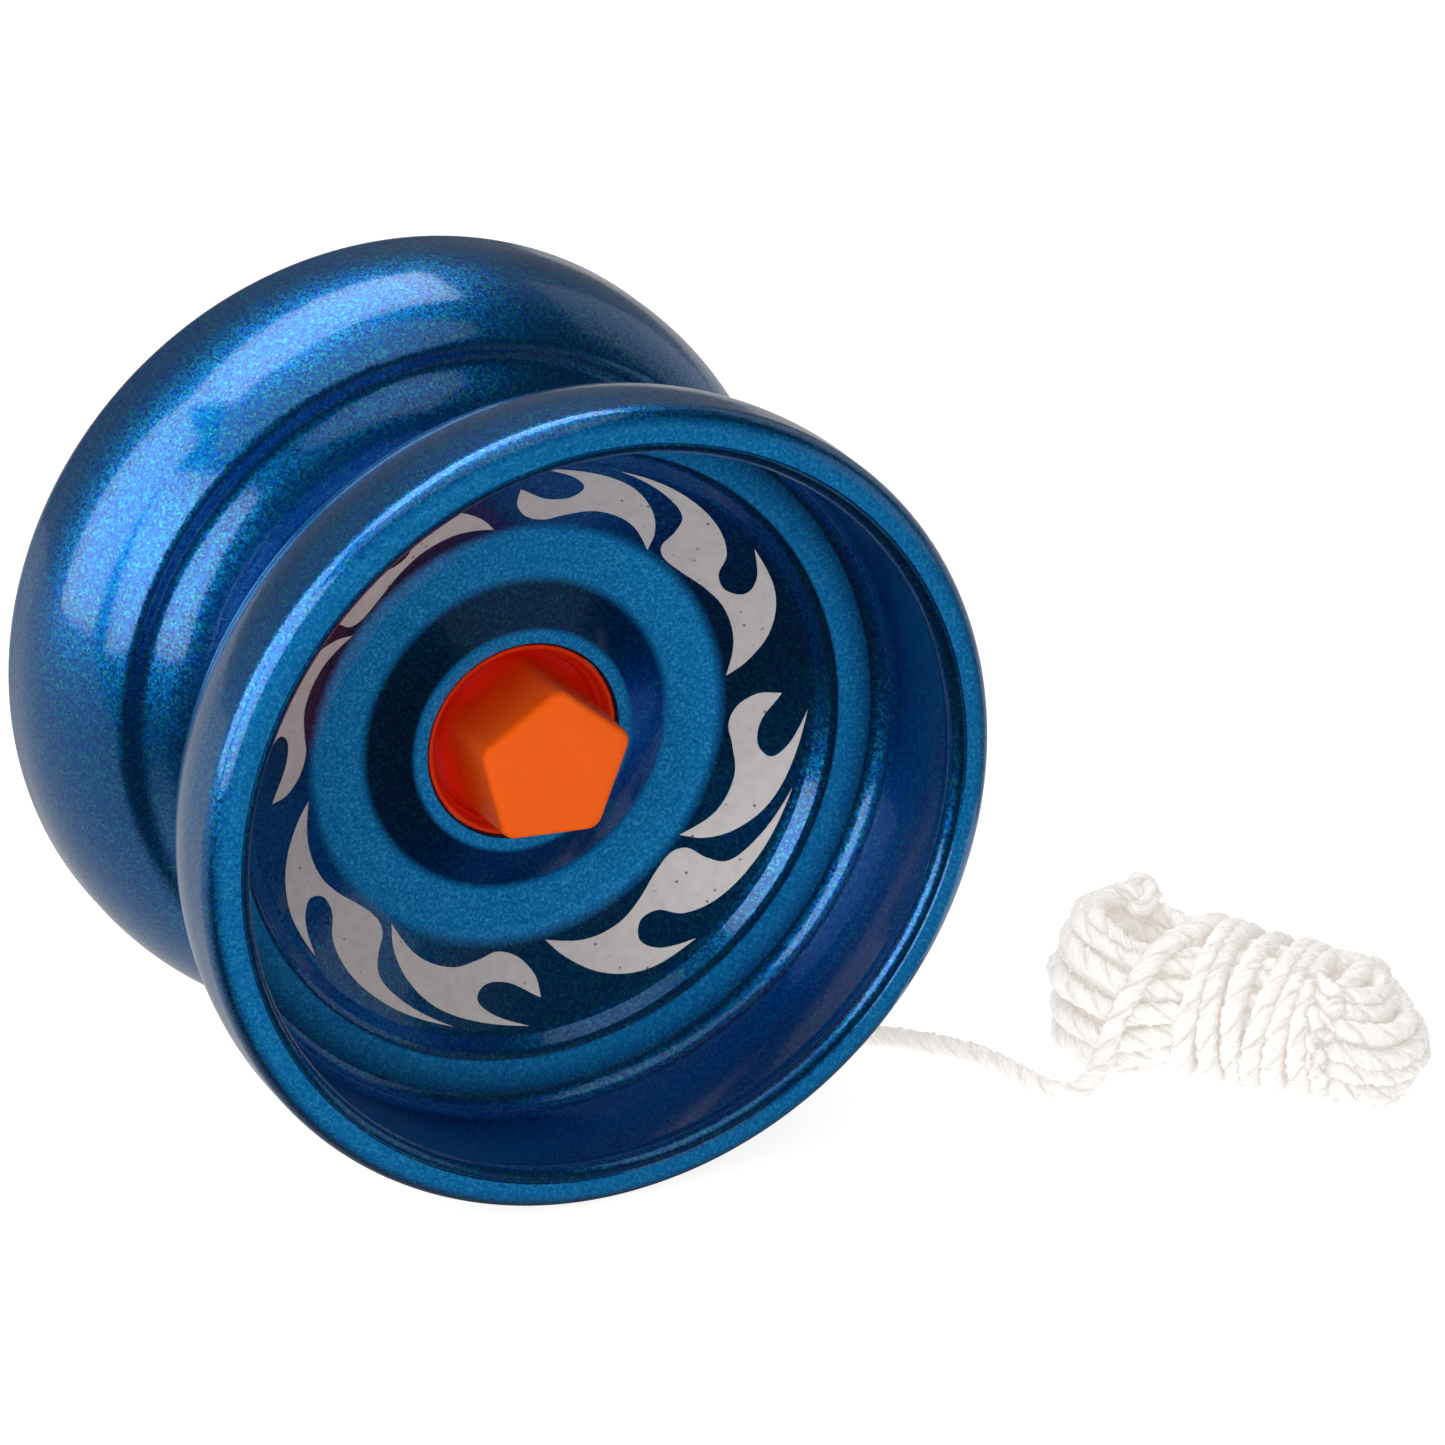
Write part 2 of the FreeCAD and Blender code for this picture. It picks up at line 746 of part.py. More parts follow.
def build_parts():
    parts = []
    for side, front in (("front", True), ("rear", False)):
        parts.append(make_half(side + "_half", front))
        parts.append(make_hub_cap(side + "_hub_cap", front))
        parts.append(make_insert(side + "_threaded_insert", front))
        parts.append(make_spacer(side + "_spacer", front))
        parts.append(make_pad(side + "_response_pad", front))
        parts.append(make_shield(side + "_bearing_shield", front))
        parts.append(make_clip(side + "_shield_clip", front))
    parts.append(make_axle())
    parts.append(make_outer_race())
    parts.append(make_inner_race())
    parts.append(make_balls())
    parts.append(make_cage())
    parts.append(make_axle_loop())
    parts.append(make_string_lead())
    parts.append(make_hank())
    parts.append(make_knot())
    return parts


def check_document(parts):
    for item in DOC.Objects:
        if "Invalid" in item.State or "Error" in item.State:
            raise ValueError("failed object: " + item.Label)
    for part in parts:
        if part.Shape.isNull() or not part.Shape.isValid():
            raise ValueError("bad shape: " + part.Label)


def export_parts(parts):
    os.makedirs("parts", exist_ok=True)
    for part in parts:
        part.Shape.exportStep("parts/%s.step" % part.Label)
        box = part.Shape.BoundBox
        print("%-24s solids %d volume %9.2f  y %7.2f %7.2f  z %6.2f %6.2f" % (
            part.Label, len(part.Shape.Solids), part.Shape.Volume,
            box.YMin, box.YMax, box.ZMin, box.ZMax))


fill_sheet()
fill_bearing_sizes()
PARTS = build_parts()
DOC.recompute()
check_document(PARTS)
export_parts(PARTS)
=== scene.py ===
import bpy
import bmesh
import math
import numpy as np
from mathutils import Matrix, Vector, noise


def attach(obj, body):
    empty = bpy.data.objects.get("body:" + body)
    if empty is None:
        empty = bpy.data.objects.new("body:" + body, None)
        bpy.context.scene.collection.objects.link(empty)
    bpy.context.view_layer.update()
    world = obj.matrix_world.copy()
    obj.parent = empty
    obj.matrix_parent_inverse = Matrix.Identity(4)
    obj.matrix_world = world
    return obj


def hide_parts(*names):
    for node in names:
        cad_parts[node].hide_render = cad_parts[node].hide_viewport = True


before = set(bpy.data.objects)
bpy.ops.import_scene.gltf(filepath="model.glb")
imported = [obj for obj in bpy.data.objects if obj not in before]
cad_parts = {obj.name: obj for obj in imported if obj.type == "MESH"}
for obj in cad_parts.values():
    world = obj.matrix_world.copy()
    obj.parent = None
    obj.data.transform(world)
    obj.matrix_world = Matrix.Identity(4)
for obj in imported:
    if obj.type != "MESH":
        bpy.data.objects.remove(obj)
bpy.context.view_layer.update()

MM = 0.001
AXLE_HEIGHT = 0.028
HUB = Vector((0.0, 0.0, AXLE_HEIGHT))
SIDES = {"front": -1, "rear": 1}


# ------------------------------------------------------------------ node helpers

class Nodes:
    """Short calls for building a material's node tree."""

    def __init__(self, name):
        self.material = bpy.data.materials.new(name)
        self.material.use_nodes = True
        self.tree = self.material.node_tree
        self.tree.nodes.clear()
        self.output = self.tree.nodes.new("ShaderNodeOutputMaterial")

    def add(self, kind, **settings):
        node = self.tree.nodes.new(kind)
        for key, value in settings.items():
            setattr(node, key, value)
        return node

    def link(self, source, target):
        self.tree.links.new(source, target)

    def shader(self, **inputs):
        """A Principled shader, with constants set on its own sockets."""
        node = self.add("ShaderNodeBsdfPrincipled")
        for key, value in inputs.items():
            node.inputs[key.replace("_", " ")].default_value = value
        self.link(node.outputs["BSDF"], self.output.inputs["Surface"])
        return node

    def position(self, scale=1.0):
        """Object coordinates, which are metres in the row frame, times a scale."""
        source = self.add("ShaderNodeTexCoord").outputs["Object"]
        node = self.add("ShaderNodeVectorMath", operation="SCALE")
        node.inputs["Scale"].default_value = scale
        self.link(source, node.inputs[0])
        return node.outputs["Vector"]

    def noise(self, vector, scale, detail=2.0, roughness=0.5):
        node = self.add("ShaderNodeTexNoise")
        node.inputs["Scale"].default_value = scale
        node.inputs["Detail"].default_value = detail
        node.inputs["Roughness"].default_value = roughness
        self.link(vector, node.inputs["Vector"])
        return node.outputs["Fac"]

    def voronoi(self, vector, scale, feature="F1"):
        node = self.add("ShaderNodeTexVoronoi", feature=feature)
        node.inputs["Scale"].default_value = scale
        self.link(vector, node.inputs["Vector"])
        return node

    def ramp(self, value, stops):
        """A colour ramp of (position, colour) stops."""
        node = self.add("ShaderNodeValToRGB")
        elements = node.color_ramp.elements
        while len(elements) < len(stops):
            elements.new(0.5)
        for element, (place, colour) in zip(elements, stops):
            element.position = place
            element.color = (*colour, 1.0)
        self.link(value, node.inputs["Fac"])
        return node.outputs["Color"]

    def span(self, value, low, high, to_low, to_high):
        """Maps a value from one range to another."""
        node = self.add("ShaderNodeMapRange")
        node.inputs["From Min"].default_value = low
        node.inputs["From Max"].default_value = high
        node.inputs["To Min"].default_value = to_low
        node.inputs["To Max"].default_value = to_high
        self.link(value, node.inputs["Value"])
        return node.outputs["Result"]

    def math(self, operation, first, second=None):
        node = self.add("ShaderNodeMath", operation=operation)
        for socket, value in zip(node.inputs, (first, second)):
            if value is None:
                continue
            if isinstance(value, (int, float)):
                socket.default_value = value
            else:
                self.link(value, socket)
        return node.outputs[0]

    def mix(self, factor, first, second):
        """Mixes two colours."""
        node = self.add("ShaderNodeMix", data_type="RGBA")
        for socket, value in ((node.inputs["Factor"], factor), (node.inputs[6], first),
                              (node.inputs[7], second)):
            if isinstance(value, tuple):
                socket.default_value = (*value, 1.0)
            elif isinstance(value, (int, float)):
                socket.default_value = value
            else:
                self.link(value, socket)
        return node.outputs[2]

    def bump(self, height, distance, strength=1.0, normal=None):
        node = self.add("ShaderNodeBump")
        node.inputs["Distance"].default_value = distance
        node.inputs["Strength"].default_value = strength
        self.link(height, node.inputs["Height"])
        if normal is not None:
            self.link(normal, node.inputs["Normal"])
        return node.outputs["Normal"]


# ------------------------------------------------------------------ materials

def flake_paint():
    """Blue flake lacquer: tilted metal grains under a gloss coat."""
    nodes = Nodes("flake_blue_paint")
    place = nodes.position(1000.0)
    grains = nodes.voronoi(place, 7.0)
    tilt = nodes.add("ShaderNodeVectorMath", operation="SUBTRACT")
    nodes.link(grains.outputs["Color"], tilt.inputs[0])
    tilt.inputs[1].default_value = (0.5, 0.5, 0.5)
    spread = nodes.add("ShaderNodeVectorMath", operation="SCALE")
    spread.inputs["Scale"].default_value = FLAKE_TILT
    nodes.link(tilt.outputs["Vector"], spread.inputs[0])
    upright = nodes.add("ShaderNodeNewGeometry").outputs["Normal"]
    leaning = nodes.add("ShaderNodeVectorMath", operation="ADD")
    nodes.link(upright, leaning.inputs[0])
    nodes.link(spread.outputs["Vector"], leaning.inputs[1])
    normal = nodes.add("ShaderNodeVectorMath", operation="NORMALIZE")
    nodes.link(leaning.outputs["Vector"], normal.inputs[0])
    lean = nodes.add("ShaderNodeVectorMath", operation="LENGTH")
    nodes.link(tilt.outputs["Vector"], lean.inputs[0])
    grain = nodes.ramp(lean.outputs["Value"], [
        (0.10, (0.020, 0.34, 0.42)), (0.34, (0.003, 0.195, 0.37)), (0.52, (0.001, 0.112, 0.38)),
        (0.72, (0.001, 0.055, 0.37))])
    cloud = nodes.noise(place, 0.35, 3.0)
    tone = nodes.mix(nodes.span(cloud, 0.35, 0.65, 0.0, 0.25), grain, (0.001, 0.080, 0.34))
    pits = nodes.voronoi(place, 0.62)
    speck = nodes.span(pits.outputs["Distance"], 0.03, 0.07, 0.8, 0.0)
    deep = nodes.mix(speck, tone, (0.0, 0.01, 0.03))
    facing = nodes.add("ShaderNodeSeparateXYZ")
    nodes.link(upright, facing.inputs["Vector"])
    spot = nodes.add("ShaderNodeSeparateXYZ")
    nodes.link(place, spot.inputs["Vector"])
    square = nodes.math("MULTIPLY", facing.outputs["Y"],
                        nodes.math("SIGN", spot.outputs["Y"]))
    up = nodes.math("SUBTRACT", spot.outputs["Z"], AXLE_HEIGHT / MM)
    radius = nodes.math("SQRT", nodes.math("ADD", nodes.math("MULTIPLY", up, up),
                        nodes.math("MULTIPLY", spot.outputs["X"], spot.outputs["X"])))
    on_rim = nodes.math("MULTIPLY", nodes.span(radius, 25.6, 25.8, 0.0, 0.72),
                        nodes.span(square, 0.68, 0.97, 0.0, 1.0))
    edge = nodes.ramp(nodes.math("DIVIDE", radius, 30.0), [
        (0.390, (0.93, 0.93, 0.93)), (0.408, (0.88, 0.88, 0.88)), (0.565, (0.88, 0.88, 0.88)),
        (0.585, (0.95, 0.95, 0.95))])
    past_edge = nodes.math("SUBTRACT", square, edge)
    inner = nodes.math("MULTIPLY", nodes.span(past_edge, 0.0, 0.06, 0.0, 1.0),
                       nodes.span(radius, 25.6, 25.8, 1.0, 0.0))
    flat = nodes.math("MAXIMUM", on_rim, inner)
    grit = nodes.noise(place, 4.5, 3.0, 0.6)
    dusty = nodes.ramp(grit, [(0.30, (0.001, 0.095, 0.26)), (0.50, (0.002, 0.145, 0.37)),
                              (0.72, (0.03, 0.26, 0.52))])
    matt = nodes.mix(speck, dusty, (0.0, 0.02, 0.05))
    shader = nodes.shader(Coat_Weight=1.0, Coat_Roughness=0.11, Coat_IOR=1.43,
                          Specular_IOR_Level=0.0)
    nodes.link(nodes.mix(flat, deep, matt), shader.inputs["Base Color"])
    nodes.link(nodes.span(flat, 0.0, 1.0, 1.0, 0.2), shader.inputs["Metallic"])
    nodes.link(nodes.span(flat, 0.0, 1.0, 0.36, 0.55), shader.inputs["Roughness"])
    nodes.link(normal.outputs["Vector"], shader.inputs["Normal"])
    ripple = nodes.noise(place, 0.9, 2.0)
    nodes.link(nodes.bump(ripple, 0.02 * MM, 0.6), shader.inputs["Coat Normal"])
    return nodes.material


def bare_alloy():
    """The die-cast alloy where the paint leaves it bare: matt, with small pits."""
    nodes = Nodes("bare_alloy")
    place = nodes.position(1000.0)
    cloud = nodes.noise(place, 1.1, 4.0, 0.6)
    tone = nodes.ramp(cloud, [(0.3, (0.59, 0.55, 0.545)), (0.7, (0.68, 0.64, 0.635))])
    pits = nodes.voronoi(place, 0.95)
    dark = nodes.span(pits.outputs["Distance"], 0.06, 0.13, 1.0, 0.0)
    colour = nodes.mix(dark, tone, (0.16, 0.14, 0.14))
    grit = nodes.noise(place, 7.0, 2.0)
    shader = nodes.shader(Metallic=0.5, Roughness=0.50)
    nodes.link(colour, shader.inputs["Base Color"])
    pitted = nodes.bump(pits.outputs["Distance"], 0.01 * MM, 0.25)
    nodes.link(nodes.bump(grit, 0.012 * MM, 0.5, pitted), shader.inputs["Normal"])
    return nodes.material


def orange_plastic():
    """Moulded orange plastic that lets a little light in, with painted shade in its cup and a
    faint painted red glow.
    """
    nodes = Nodes("orange_plastic")
    place = nodes.position(1000.0)
    flow = nodes.noise(place, 0.25, 2.0)
    moulded = nodes.ramp(flow, [(0.3, (0.64, 0.090, 0.001)), (0.7, (0.68, 0.100, 0.002))])
    parts = nodes.add("ShaderNodeSeparateXYZ")
    nodes.link(place, parts.inputs["Vector"])
    # Painted shade: the colour turns a darker, deeper red towards the middle plane, down in the
    # cup at the cap's foot.
    depth = nodes.span(nodes.math("ABSOLUTE", parts.outputs["Y"]), 3.6, 10.1, 1.0, 0.0)
    colour = nodes.mix(depth, moulded, (0.46, 0.005, 0.001))
    # Painted glow: a faint red emission brightens the plastic.
    shader = nodes.shader(Roughness=0.38, IOR=1.27, Subsurface_Weight=0.5,
                          Subsurface_Radius=(1.0, 0.25, 0.06), Subsurface_Scale=2.2 * MM,
                          Emission_Strength=0.07, Emission_Color=(1.0, 0.02, 0.0, 1.0))
    nodes.link(colour, shader.inputs["Base Color"])
    grit = nodes.noise(place, 3.0, 3.0)
    nodes.link(nodes.bump(grit, 0.006 * MM, 0.5), shader.inputs["Normal"])
    return nodes.material


def turned_metal(name, colour, roughness, ring_pitch, depth, rust=0.0):
    """Machined metal with fine rings round the axle."""
    nodes = Nodes(name)
    place = nodes.position(1000.0)
    parts = nodes.add("ShaderNodeSeparateXYZ")
    nodes.link(place, parts.inputs["Vector"])
    height = nodes.math("SUBTRACT", parts.outputs["Z"], AXLE_HEIGHT / MM)
    square = nodes.math("ADD", nodes.math("MULTIPLY", height, height),
                        nodes.math("MULTIPLY", parts.outputs["X"], parts.outputs["X"]))
    radius = nodes.math("SQRT", square)
    rings = nodes.add("ShaderNodeCombineXYZ")
    nodes.link(radius, rings.inputs["X"])
    nodes.link(parts.outputs["Y"], rings.inputs["Y"])
    cuts = nodes.noise(rings.outputs["Vector"], 1.0 / ring_pitch, 2.0)
    cloud = nodes.noise(place, 0.8, 3.0)
    low = tuple(c * (0.82 - rust) for c in colour)
    nodes_colour = nodes.ramp(cloud, [(0.3, low), (0.7, colour)])
    shader = nodes.shader(Metallic=1.0, Roughness=roughness)
    nodes.link(nodes_colour, shader.inputs["Base Color"])
    nodes.link(nodes.span(cuts, 0.3, 0.7, roughness * 0.8, min(1.0, roughness * 1.25)),
               shader.inputs["Roughness"])
    nodes.link(nodes.bump(cuts, depth * MM, 0.6), shader.inputs["Normal"])
    return nodes.material


def threaded_steel():
    """Oiled steel with a rolled thread of 0.7 mm pitch along the axle."""
    nodes = Nodes("threaded_steel")
    place = nodes.position(1000.0)
    parts = nodes.add("ShaderNodeSeparateXYZ")
    nodes.link(place, parts.inputs["Vector"])
    height = nodes.math("SUBTRACT", parts.outputs["Z"], AXLE_HEIGHT / MM)
    angle = nodes.math("ARCTAN2", height, parts.outputs["X"])
    turns = nodes.math("DIVIDE", angle, 2 * math.pi)
    along = nodes.math("ADD", nodes.math("DIVIDE", parts.outputs["Y"], 0.7), turns)
    flank = nodes.math("PINGPONG", along, 0.5)
    cloud = nodes.noise(place, 1.5, 3.0)
    colour = nodes.ramp(cloud, [(0.3, (0.30, 0.29, 0.28)), (0.7, (0.45, 0.44, 0.43))])
    shader = nodes.shader(Metallic=1.0, Roughness=0.36)
    nodes.link(colour, shader.inputs["Base Color"])
    nodes.link(nodes.bump(flank, 0.35 * MM, 1.0), shader.inputs["Normal"])
    return nodes.material


def silicone():
    nodes = Nodes("response_silicone")
    place = nodes.position(1000.0)
    cloud = nodes.noise(place, 1.2, 3.0)
    colour = nodes.ramp(cloud, [(0.3, (0.70, 0.70, 0.68)), (0.7, (0.84, 0.84, 0.82))])
    shader = nodes.shader(Roughness=0.62, Subsurface_Weight=0.2,
                          Subsurface_Radius=(1.0, 0.9, 0.8), Subsurface_Scale=0.5 * MM)
    nodes.link(colour, shader.inputs["Base Color"])
    nodes.link(nodes.bump(nodes.noise(place, 6.0, 2.0), 0.01 * MM, 0.6), shader.inputs["Normal"])
    return nodes.material


def cotton():
    """White twisted yarn: fine fibres lie along each strand, with painted shade darker between
    them and a faint warm painted glow.
    """
    nodes = Nodes("white_cotton")
    source = nodes.add("ShaderNodeUVMap", uv_map="strand")
    fibres = nodes.add("ShaderNodeMapping")
    fibres.inputs["Scale"].default_value = (1.3, 15.0, 1.0)
    fibres.inputs["Rotation"].default_value = (0.0, 0.0, 0.32)
    nodes.link(source.outputs["UV"], fibres.inputs["Vector"])
    fibres_and_shade = nodes.noise(fibres.outputs["Vector"], 1.0, 4.0, 0.62)
    fluff = nodes.noise(nodes.position(1000.0), 2.2, 3.0)
    # Painted shade: the yarn's colour is darker between the fibres.
    colour = nodes.ramp(fibres_and_shade, [(0.22, (0.42, 0.395, 0.37)), (0.45, (0.57, 0.55, 0.53)),
                               (0.72, (0.78, 0.77, 0.76))])
    # Painted glow: a faint warm emission lifts the yarn's shade to a cream tone.
    shader = nodes.shader(Roughness=0.85, Sheen_Weight=0.25, Sheen_Roughness=0.5,
                          Subsurface_Weight=1.0, Subsurface_Radius=(1.0, 0.92, 0.85),
                          Subsurface_Scale=2.8 * MM, Emission_Strength=0.24,
                          Emission_Color=(1.0, 0.93, 0.87, 1.0), Specular_IOR_Level=0.2)
    nodes.link(colour, shader.inputs["Base Color"])
    soft = nodes.bump(fluff, 0.10 * MM, 0.7)
    nodes.link(nodes.bump(fibres_and_shade, 0.14 * MM, 1.0, soft), shader.inputs["Normal"])
    return nodes.material


# ------------------------------------------------------------------ mesh helpers

def new_object(name, vertices, faces, material, smooth_angle=math.radians(40)):
    mesh = bpy.data.meshes.new(name)
    mesh.from_pydata([tuple(v) for v in vertices], [], faces)
    mesh.materials.append(material)
    work = bmesh.new()
    work.from_mesh(mesh)
    bmesh.ops.recalc_face_normals(work, faces=work.faces)
    work.to_mesh(mesh)
    work.free()
    mesh.shade_smooth()
    mesh.set_sharp_from_angle(angle=smooth_angle)
    piece = bpy.data.objects.new(name, mesh)
    bpy.context.scene.collection.objects.link(piece)
    return piece


def arc_points(start, end, radius, side, count):
    """Points inside an arc from start to end; side +1 puts its centre left of the way."""
    start = Vector(start)
    end = Vector(end)
    chord = end - start
    left = Vector((-chord.y, chord.x)).normalized()
    drop = math.sqrt(max(0.0, radius ** 2 - (chord.length / 2) ** 2))
    centre = (start + end) / 2 + left * (side * drop)
    first = math.atan2(start.y - centre.y, start.x - centre.x)
    last = math.atan2(end.y - centre.y, end.x - centre.x)
    sweep = (last - first + math.pi) % (2 * math.pi) - math.pi
    points = []
    for index in range(1, count):
        angle = first + sweep * index / count
        points.append(centre + Vector((math.cos(angle), math.sin(angle))) * radius)
    return points


def round_corner(before, corner, after, radius, count=5):
    """Points of a fillet that replaces a corner, no larger than its legs allow."""
    back = before - corner
    ahead = after - corner
    turn = math.pi - back.angle(ahead)
    if radius <= 0 or turn < 0.02:
        return [corner]
    cut = min(radius * math.tan(turn / 2), 0.45 * back.length, 0.45 * ahead.length)
    start = corner + back.normalized() * cut
    end = corner + ahead.normalized() * cut
    points = []
    for index in range(count + 1):
        share = index / count
        first = start.lerp(corner, share)
        second = corner.lerp(end, share)
        points.append(first.lerp(second, share))
    return points


def section_outline(stations, arcs):
    """A closed section as points, from (name, radius, reach, fillet) stations and arcs."""
    count = len(stations)
    corners = [Vector((radius, reach)) for name, radius, reach, fillet in stations]
    points = []
    for index, (name, radius, reach, fillet) in enumerate(stations):
        before = corners[index - 1]
        after = corners[(index + 1) % count]
        points.extend(round_corner(before, corners[index], after, fillet))
        if name in arcs:
            bend, side, steps = arcs[name]
            points.extend(arc_points(corners[index], after, bend, side, steps))
    return points


def lathe(name, outline, side, material, segments=240):
    """Turns a closed outline of (radius, reach) in mm about the axle."""
    vertices = []
    faces = []
    count = len(outline)
    for step in range(segments):
        angle = 2 * math.pi * step / segments
        for radius, reach in outline:
            vertices.append((radius * MM * math.cos(angle), side * reach * MM,
                             AXLE_HEIGHT + radius * MM * math.sin(angle)))
    for step in range(segments):
        here = step * count
        there = ((step + 1) % segments) * count
        for index in range(count):
            after = (index + 1) % count
            faces.append((here + index, here + after, there + after, there + index))
    return new_object(name, vertices, faces, material)


# ------------------------------------------------------------------ the halves

# Turning points of a half's section: name, radius, reach from the middle plane, fillet, mm.
HALF_STATIONS = [
    ("bore_foot", 6.8, 2.2, 0.1),
    ("pad_slot_in", 7.9, 2.2, 0.05),
    ("pad_slot_in_floor", 7.9, 2.8, 0.0),
    ("pad_slot_out_floor", 10.4, 2.8, 0.0),
    ("pad_slot_out", 10.4, 2.2, 0.05),
    ("gap_face_edge", 11.0, 2.2, 2.0),
    ("shoulder_start", 17.5, 2.95, 0.0),
    ("shoulder_end", 21.93, 5.01, 0.0),
    ("band_inner", 22.98, 6.03, 1.9),
    ("band_outer", 24.2, 6.27, 1.6),
    ("bowl_start", 24.96, 7.18, 0.0),
    ("bowl_end", 28.0, 15.9, 0.0),
    ("rim_side", 28.0, 17.35, 0.0),
    ("rim_face_outer", 26.3, 19.05, 0.0),
    ("rim_face_inner", 25.85, 19.05, 0.08),
    ("face_line", 25.72, 18.9, 0.05),
    ("bead_start", 25.6, 18.98, 0.0),
    ("bead_end", 25.05, 17.6, 0.0),
    ("crease", 25.1, 17.35, 0.25),
    ("wall_top", 25.45, 16.8, 0.9),
    ("wall_foot", 25.2, 10.4, 0.0),
    ("ledge_outer", 24.0, 8.42, 0.0),
    ("ledge_inner", 21.6, 8.3, 0.9),
    ("step_foot", 21.15, 8.02, 0.6),
    ("step_top", 20.45, 7.25, 0.5),
    ("dish_outer", 20.1, 7.0, 1.0),
    ("floor_outer", 14.2, 3.62, 6.0),
    ("floor_inner", 11.35, 3.42, 3.0),
    ("lip_top", 7.75, 4.93, 3.0),
    ("bore_mouth", 6.95, 4.93, 0.15),
    ("bore_top", 6.8, 4.8, 0.0),
]

# Round stretches: radius, side of the centre, steps, from the station named.
HALF_ARCS = {
    "shoulder_start": (7.5, 1, 18),
    "bowl_start": (13.0, 1, 26),
    "rim_side": (1.7, 1, 16),
    "bead_start": (1.0, 1, 12),
    "wall_foot": (2.2, -1, 16),
}


def make_half(side_name, material):
    outline = section_outline(HALF_STATIONS, HALF_ARCS)
    shell = lathe(side_name + "_half_shell", outline, SIDES[side_name], material)
    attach(shell, side_name + "_side")
    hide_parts(side_name + "_half")
    return shell


# ------------------------------------------------------------------ flames on the dish

# Corners and curve points of two flames as (degrees, radius in mm, is a tip).
LONG_FLAME = [
    (6.3, 15.3, True), (10.0, 16.7, False), (16.5, 18.4, False), (25.0, 19.5, False),
    (36.1, 19.85, True), (29.3, 18.9, False), (26.8, 17.8, False), (29.6, 16.9, False),
    (34.2, 17.1, False), (38.0, 18.3, False), (45.5, 19.2, False), (57.0, 19.7, False),
    (71.6, 19.9, True), (60.5, 19.2, False), (52.8, 18.4, False), (50.4, 17.2, False),
    (49.6, 15.9, False), (46.0, 15.3, False), (39.5, 15.4, False), (32.5, 15.9, False),
    (25.0, 16.3, False), (16.0, 16.15, False),
]
SHORT_FLAME = [
    (51.2, 15.1, True), (54.2, 16.5, False), (60.0, 17.9, False), (69.5, 19.1, False),
    (88.0, 20.0, True), (80.4, 19.1, False), (77.0, 18.2, False), (79.4, 17.3, False),
    (85.2, 17.35, False), (91.6, 18.5, True), (91.4, 17.1, False), (88.2, 15.9, False),
    (83.0, 15.45, False), (77.5, 15.9, False), (70.5, 16.45, False), (61.0, 16.25, False),
]
DISH_INNER = (14.6, 3.85)
DISH_OUTER = (20.1, 7.0)
FLAME_LIFT = 0.035
FLAME_THICK = 0.07


def flame_outline(points, steps=6):
    """A closed outline that bends smoothly between tips and keeps each tip sharp."""
    count = len(points)
    outline = []
    for index in range(count):
        angle, radius, tip = points[index]
        ahead_angle, ahead_radius, ahead_tip = points[(index + 1) % count]
        here = Vector((angle, radius))
        ahead = Vector((ahead_angle, ahead_radius))
        before = Vector(points[index - 1][:2])
        beyond = Vector(points[(index + 2) % count][:2])
        leave = (ahead - here) if tip else (ahead - before) / 2
        arrive = (ahead - here) if ahead_tip else (beyond - here) / 2
        for step in range(steps):
            t = step / steps
            outline.append(here * (2 * t ** 3 - 3 * t ** 2 + 1) + leave * (t ** 3 - 2 * t ** 2 + t)
                           + ahead * (3 * t ** 2 - 2 * t ** 3) + arrive * (t ** 3 - t ** 2))
    return outline


def dish_reach(radius):
    share = (radius - DISH_INNER[0]) / (DISH_OUTER[0] - DISH_INNER[0])
    return DISH_INNER[1] + share * (DISH_OUTER[1] - DISH_INNER[1])


def fill_flame(work, outline, turn):
    """Fills one flame as a flat outline, cut into small faces, in (degrees, radius)."""
    corners = [work.verts.new((point.x + turn, point.y, 0.0)) for point in outline]
    edges = [work.edges.new((corners[i - 1], corners[i])) for i in range(len(corners))]
    bmesh.ops.triangle_fill(work, edges=edges, use_beauty=True)


def make_flames(side_name, material):
    """Bare metal flames, four long and four short, a hair above the dish."""
    work = bmesh.new()
    for sector in range(4):
        for flame in (LONG_FLAME, SHORT_FLAME):
            fill_flame(work, flame_outline(flame), 90.0 * sector)
    for degree in range(3, 460):
        parts = work.verts[:] + work.edges[:] + work.faces[:]
        bmesh.ops.bisect_plane(work, geom=parts, plane_co=(degree, 0, 0), plane_no=(1, 0, 0))
    side = SIDES[side_name]
    for vertex in work.verts:
        angle = math.radians(vertex.co.x)
        if side > 0:
            angle = math.pi - angle
        radius = vertex.co.y
        reach = side * (dish_reach(radius) + FLAME_LIFT)
        vertex.co = (radius * MM * math.cos(angle), reach * MM,
                     AXLE_HEIGHT + radius * MM * math.sin(angle))
    sheet = bmesh.ops.extrude_face_region(work, geom=work.faces[:])
    for vertex in (item for item in sheet["geom"] if isinstance(item, bmesh.types.BMVert)):
        vertex.co.y -= side * FLAME_THICK * MM
    bmesh.ops.recalc_face_normals(work, faces=work.faces)
    mesh = bpy.data.meshes.new(side_name + "_flames")
    work.to_mesh(mesh)
    work.free()
    mesh.materials.append(material)
    mesh.shade_smooth()
    mesh.set_sharp_from_angle(angle=math.radians(30))
    flames = bpy.data.objects.new(side_name + "_flames", mesh)
    bpy.context.scene.collection.objects.link(flames)
    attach(flames, side_name + "_side")
    return flames


# ------------------------------------------------------------------ hub caps

PRISM_TURN = 93.7


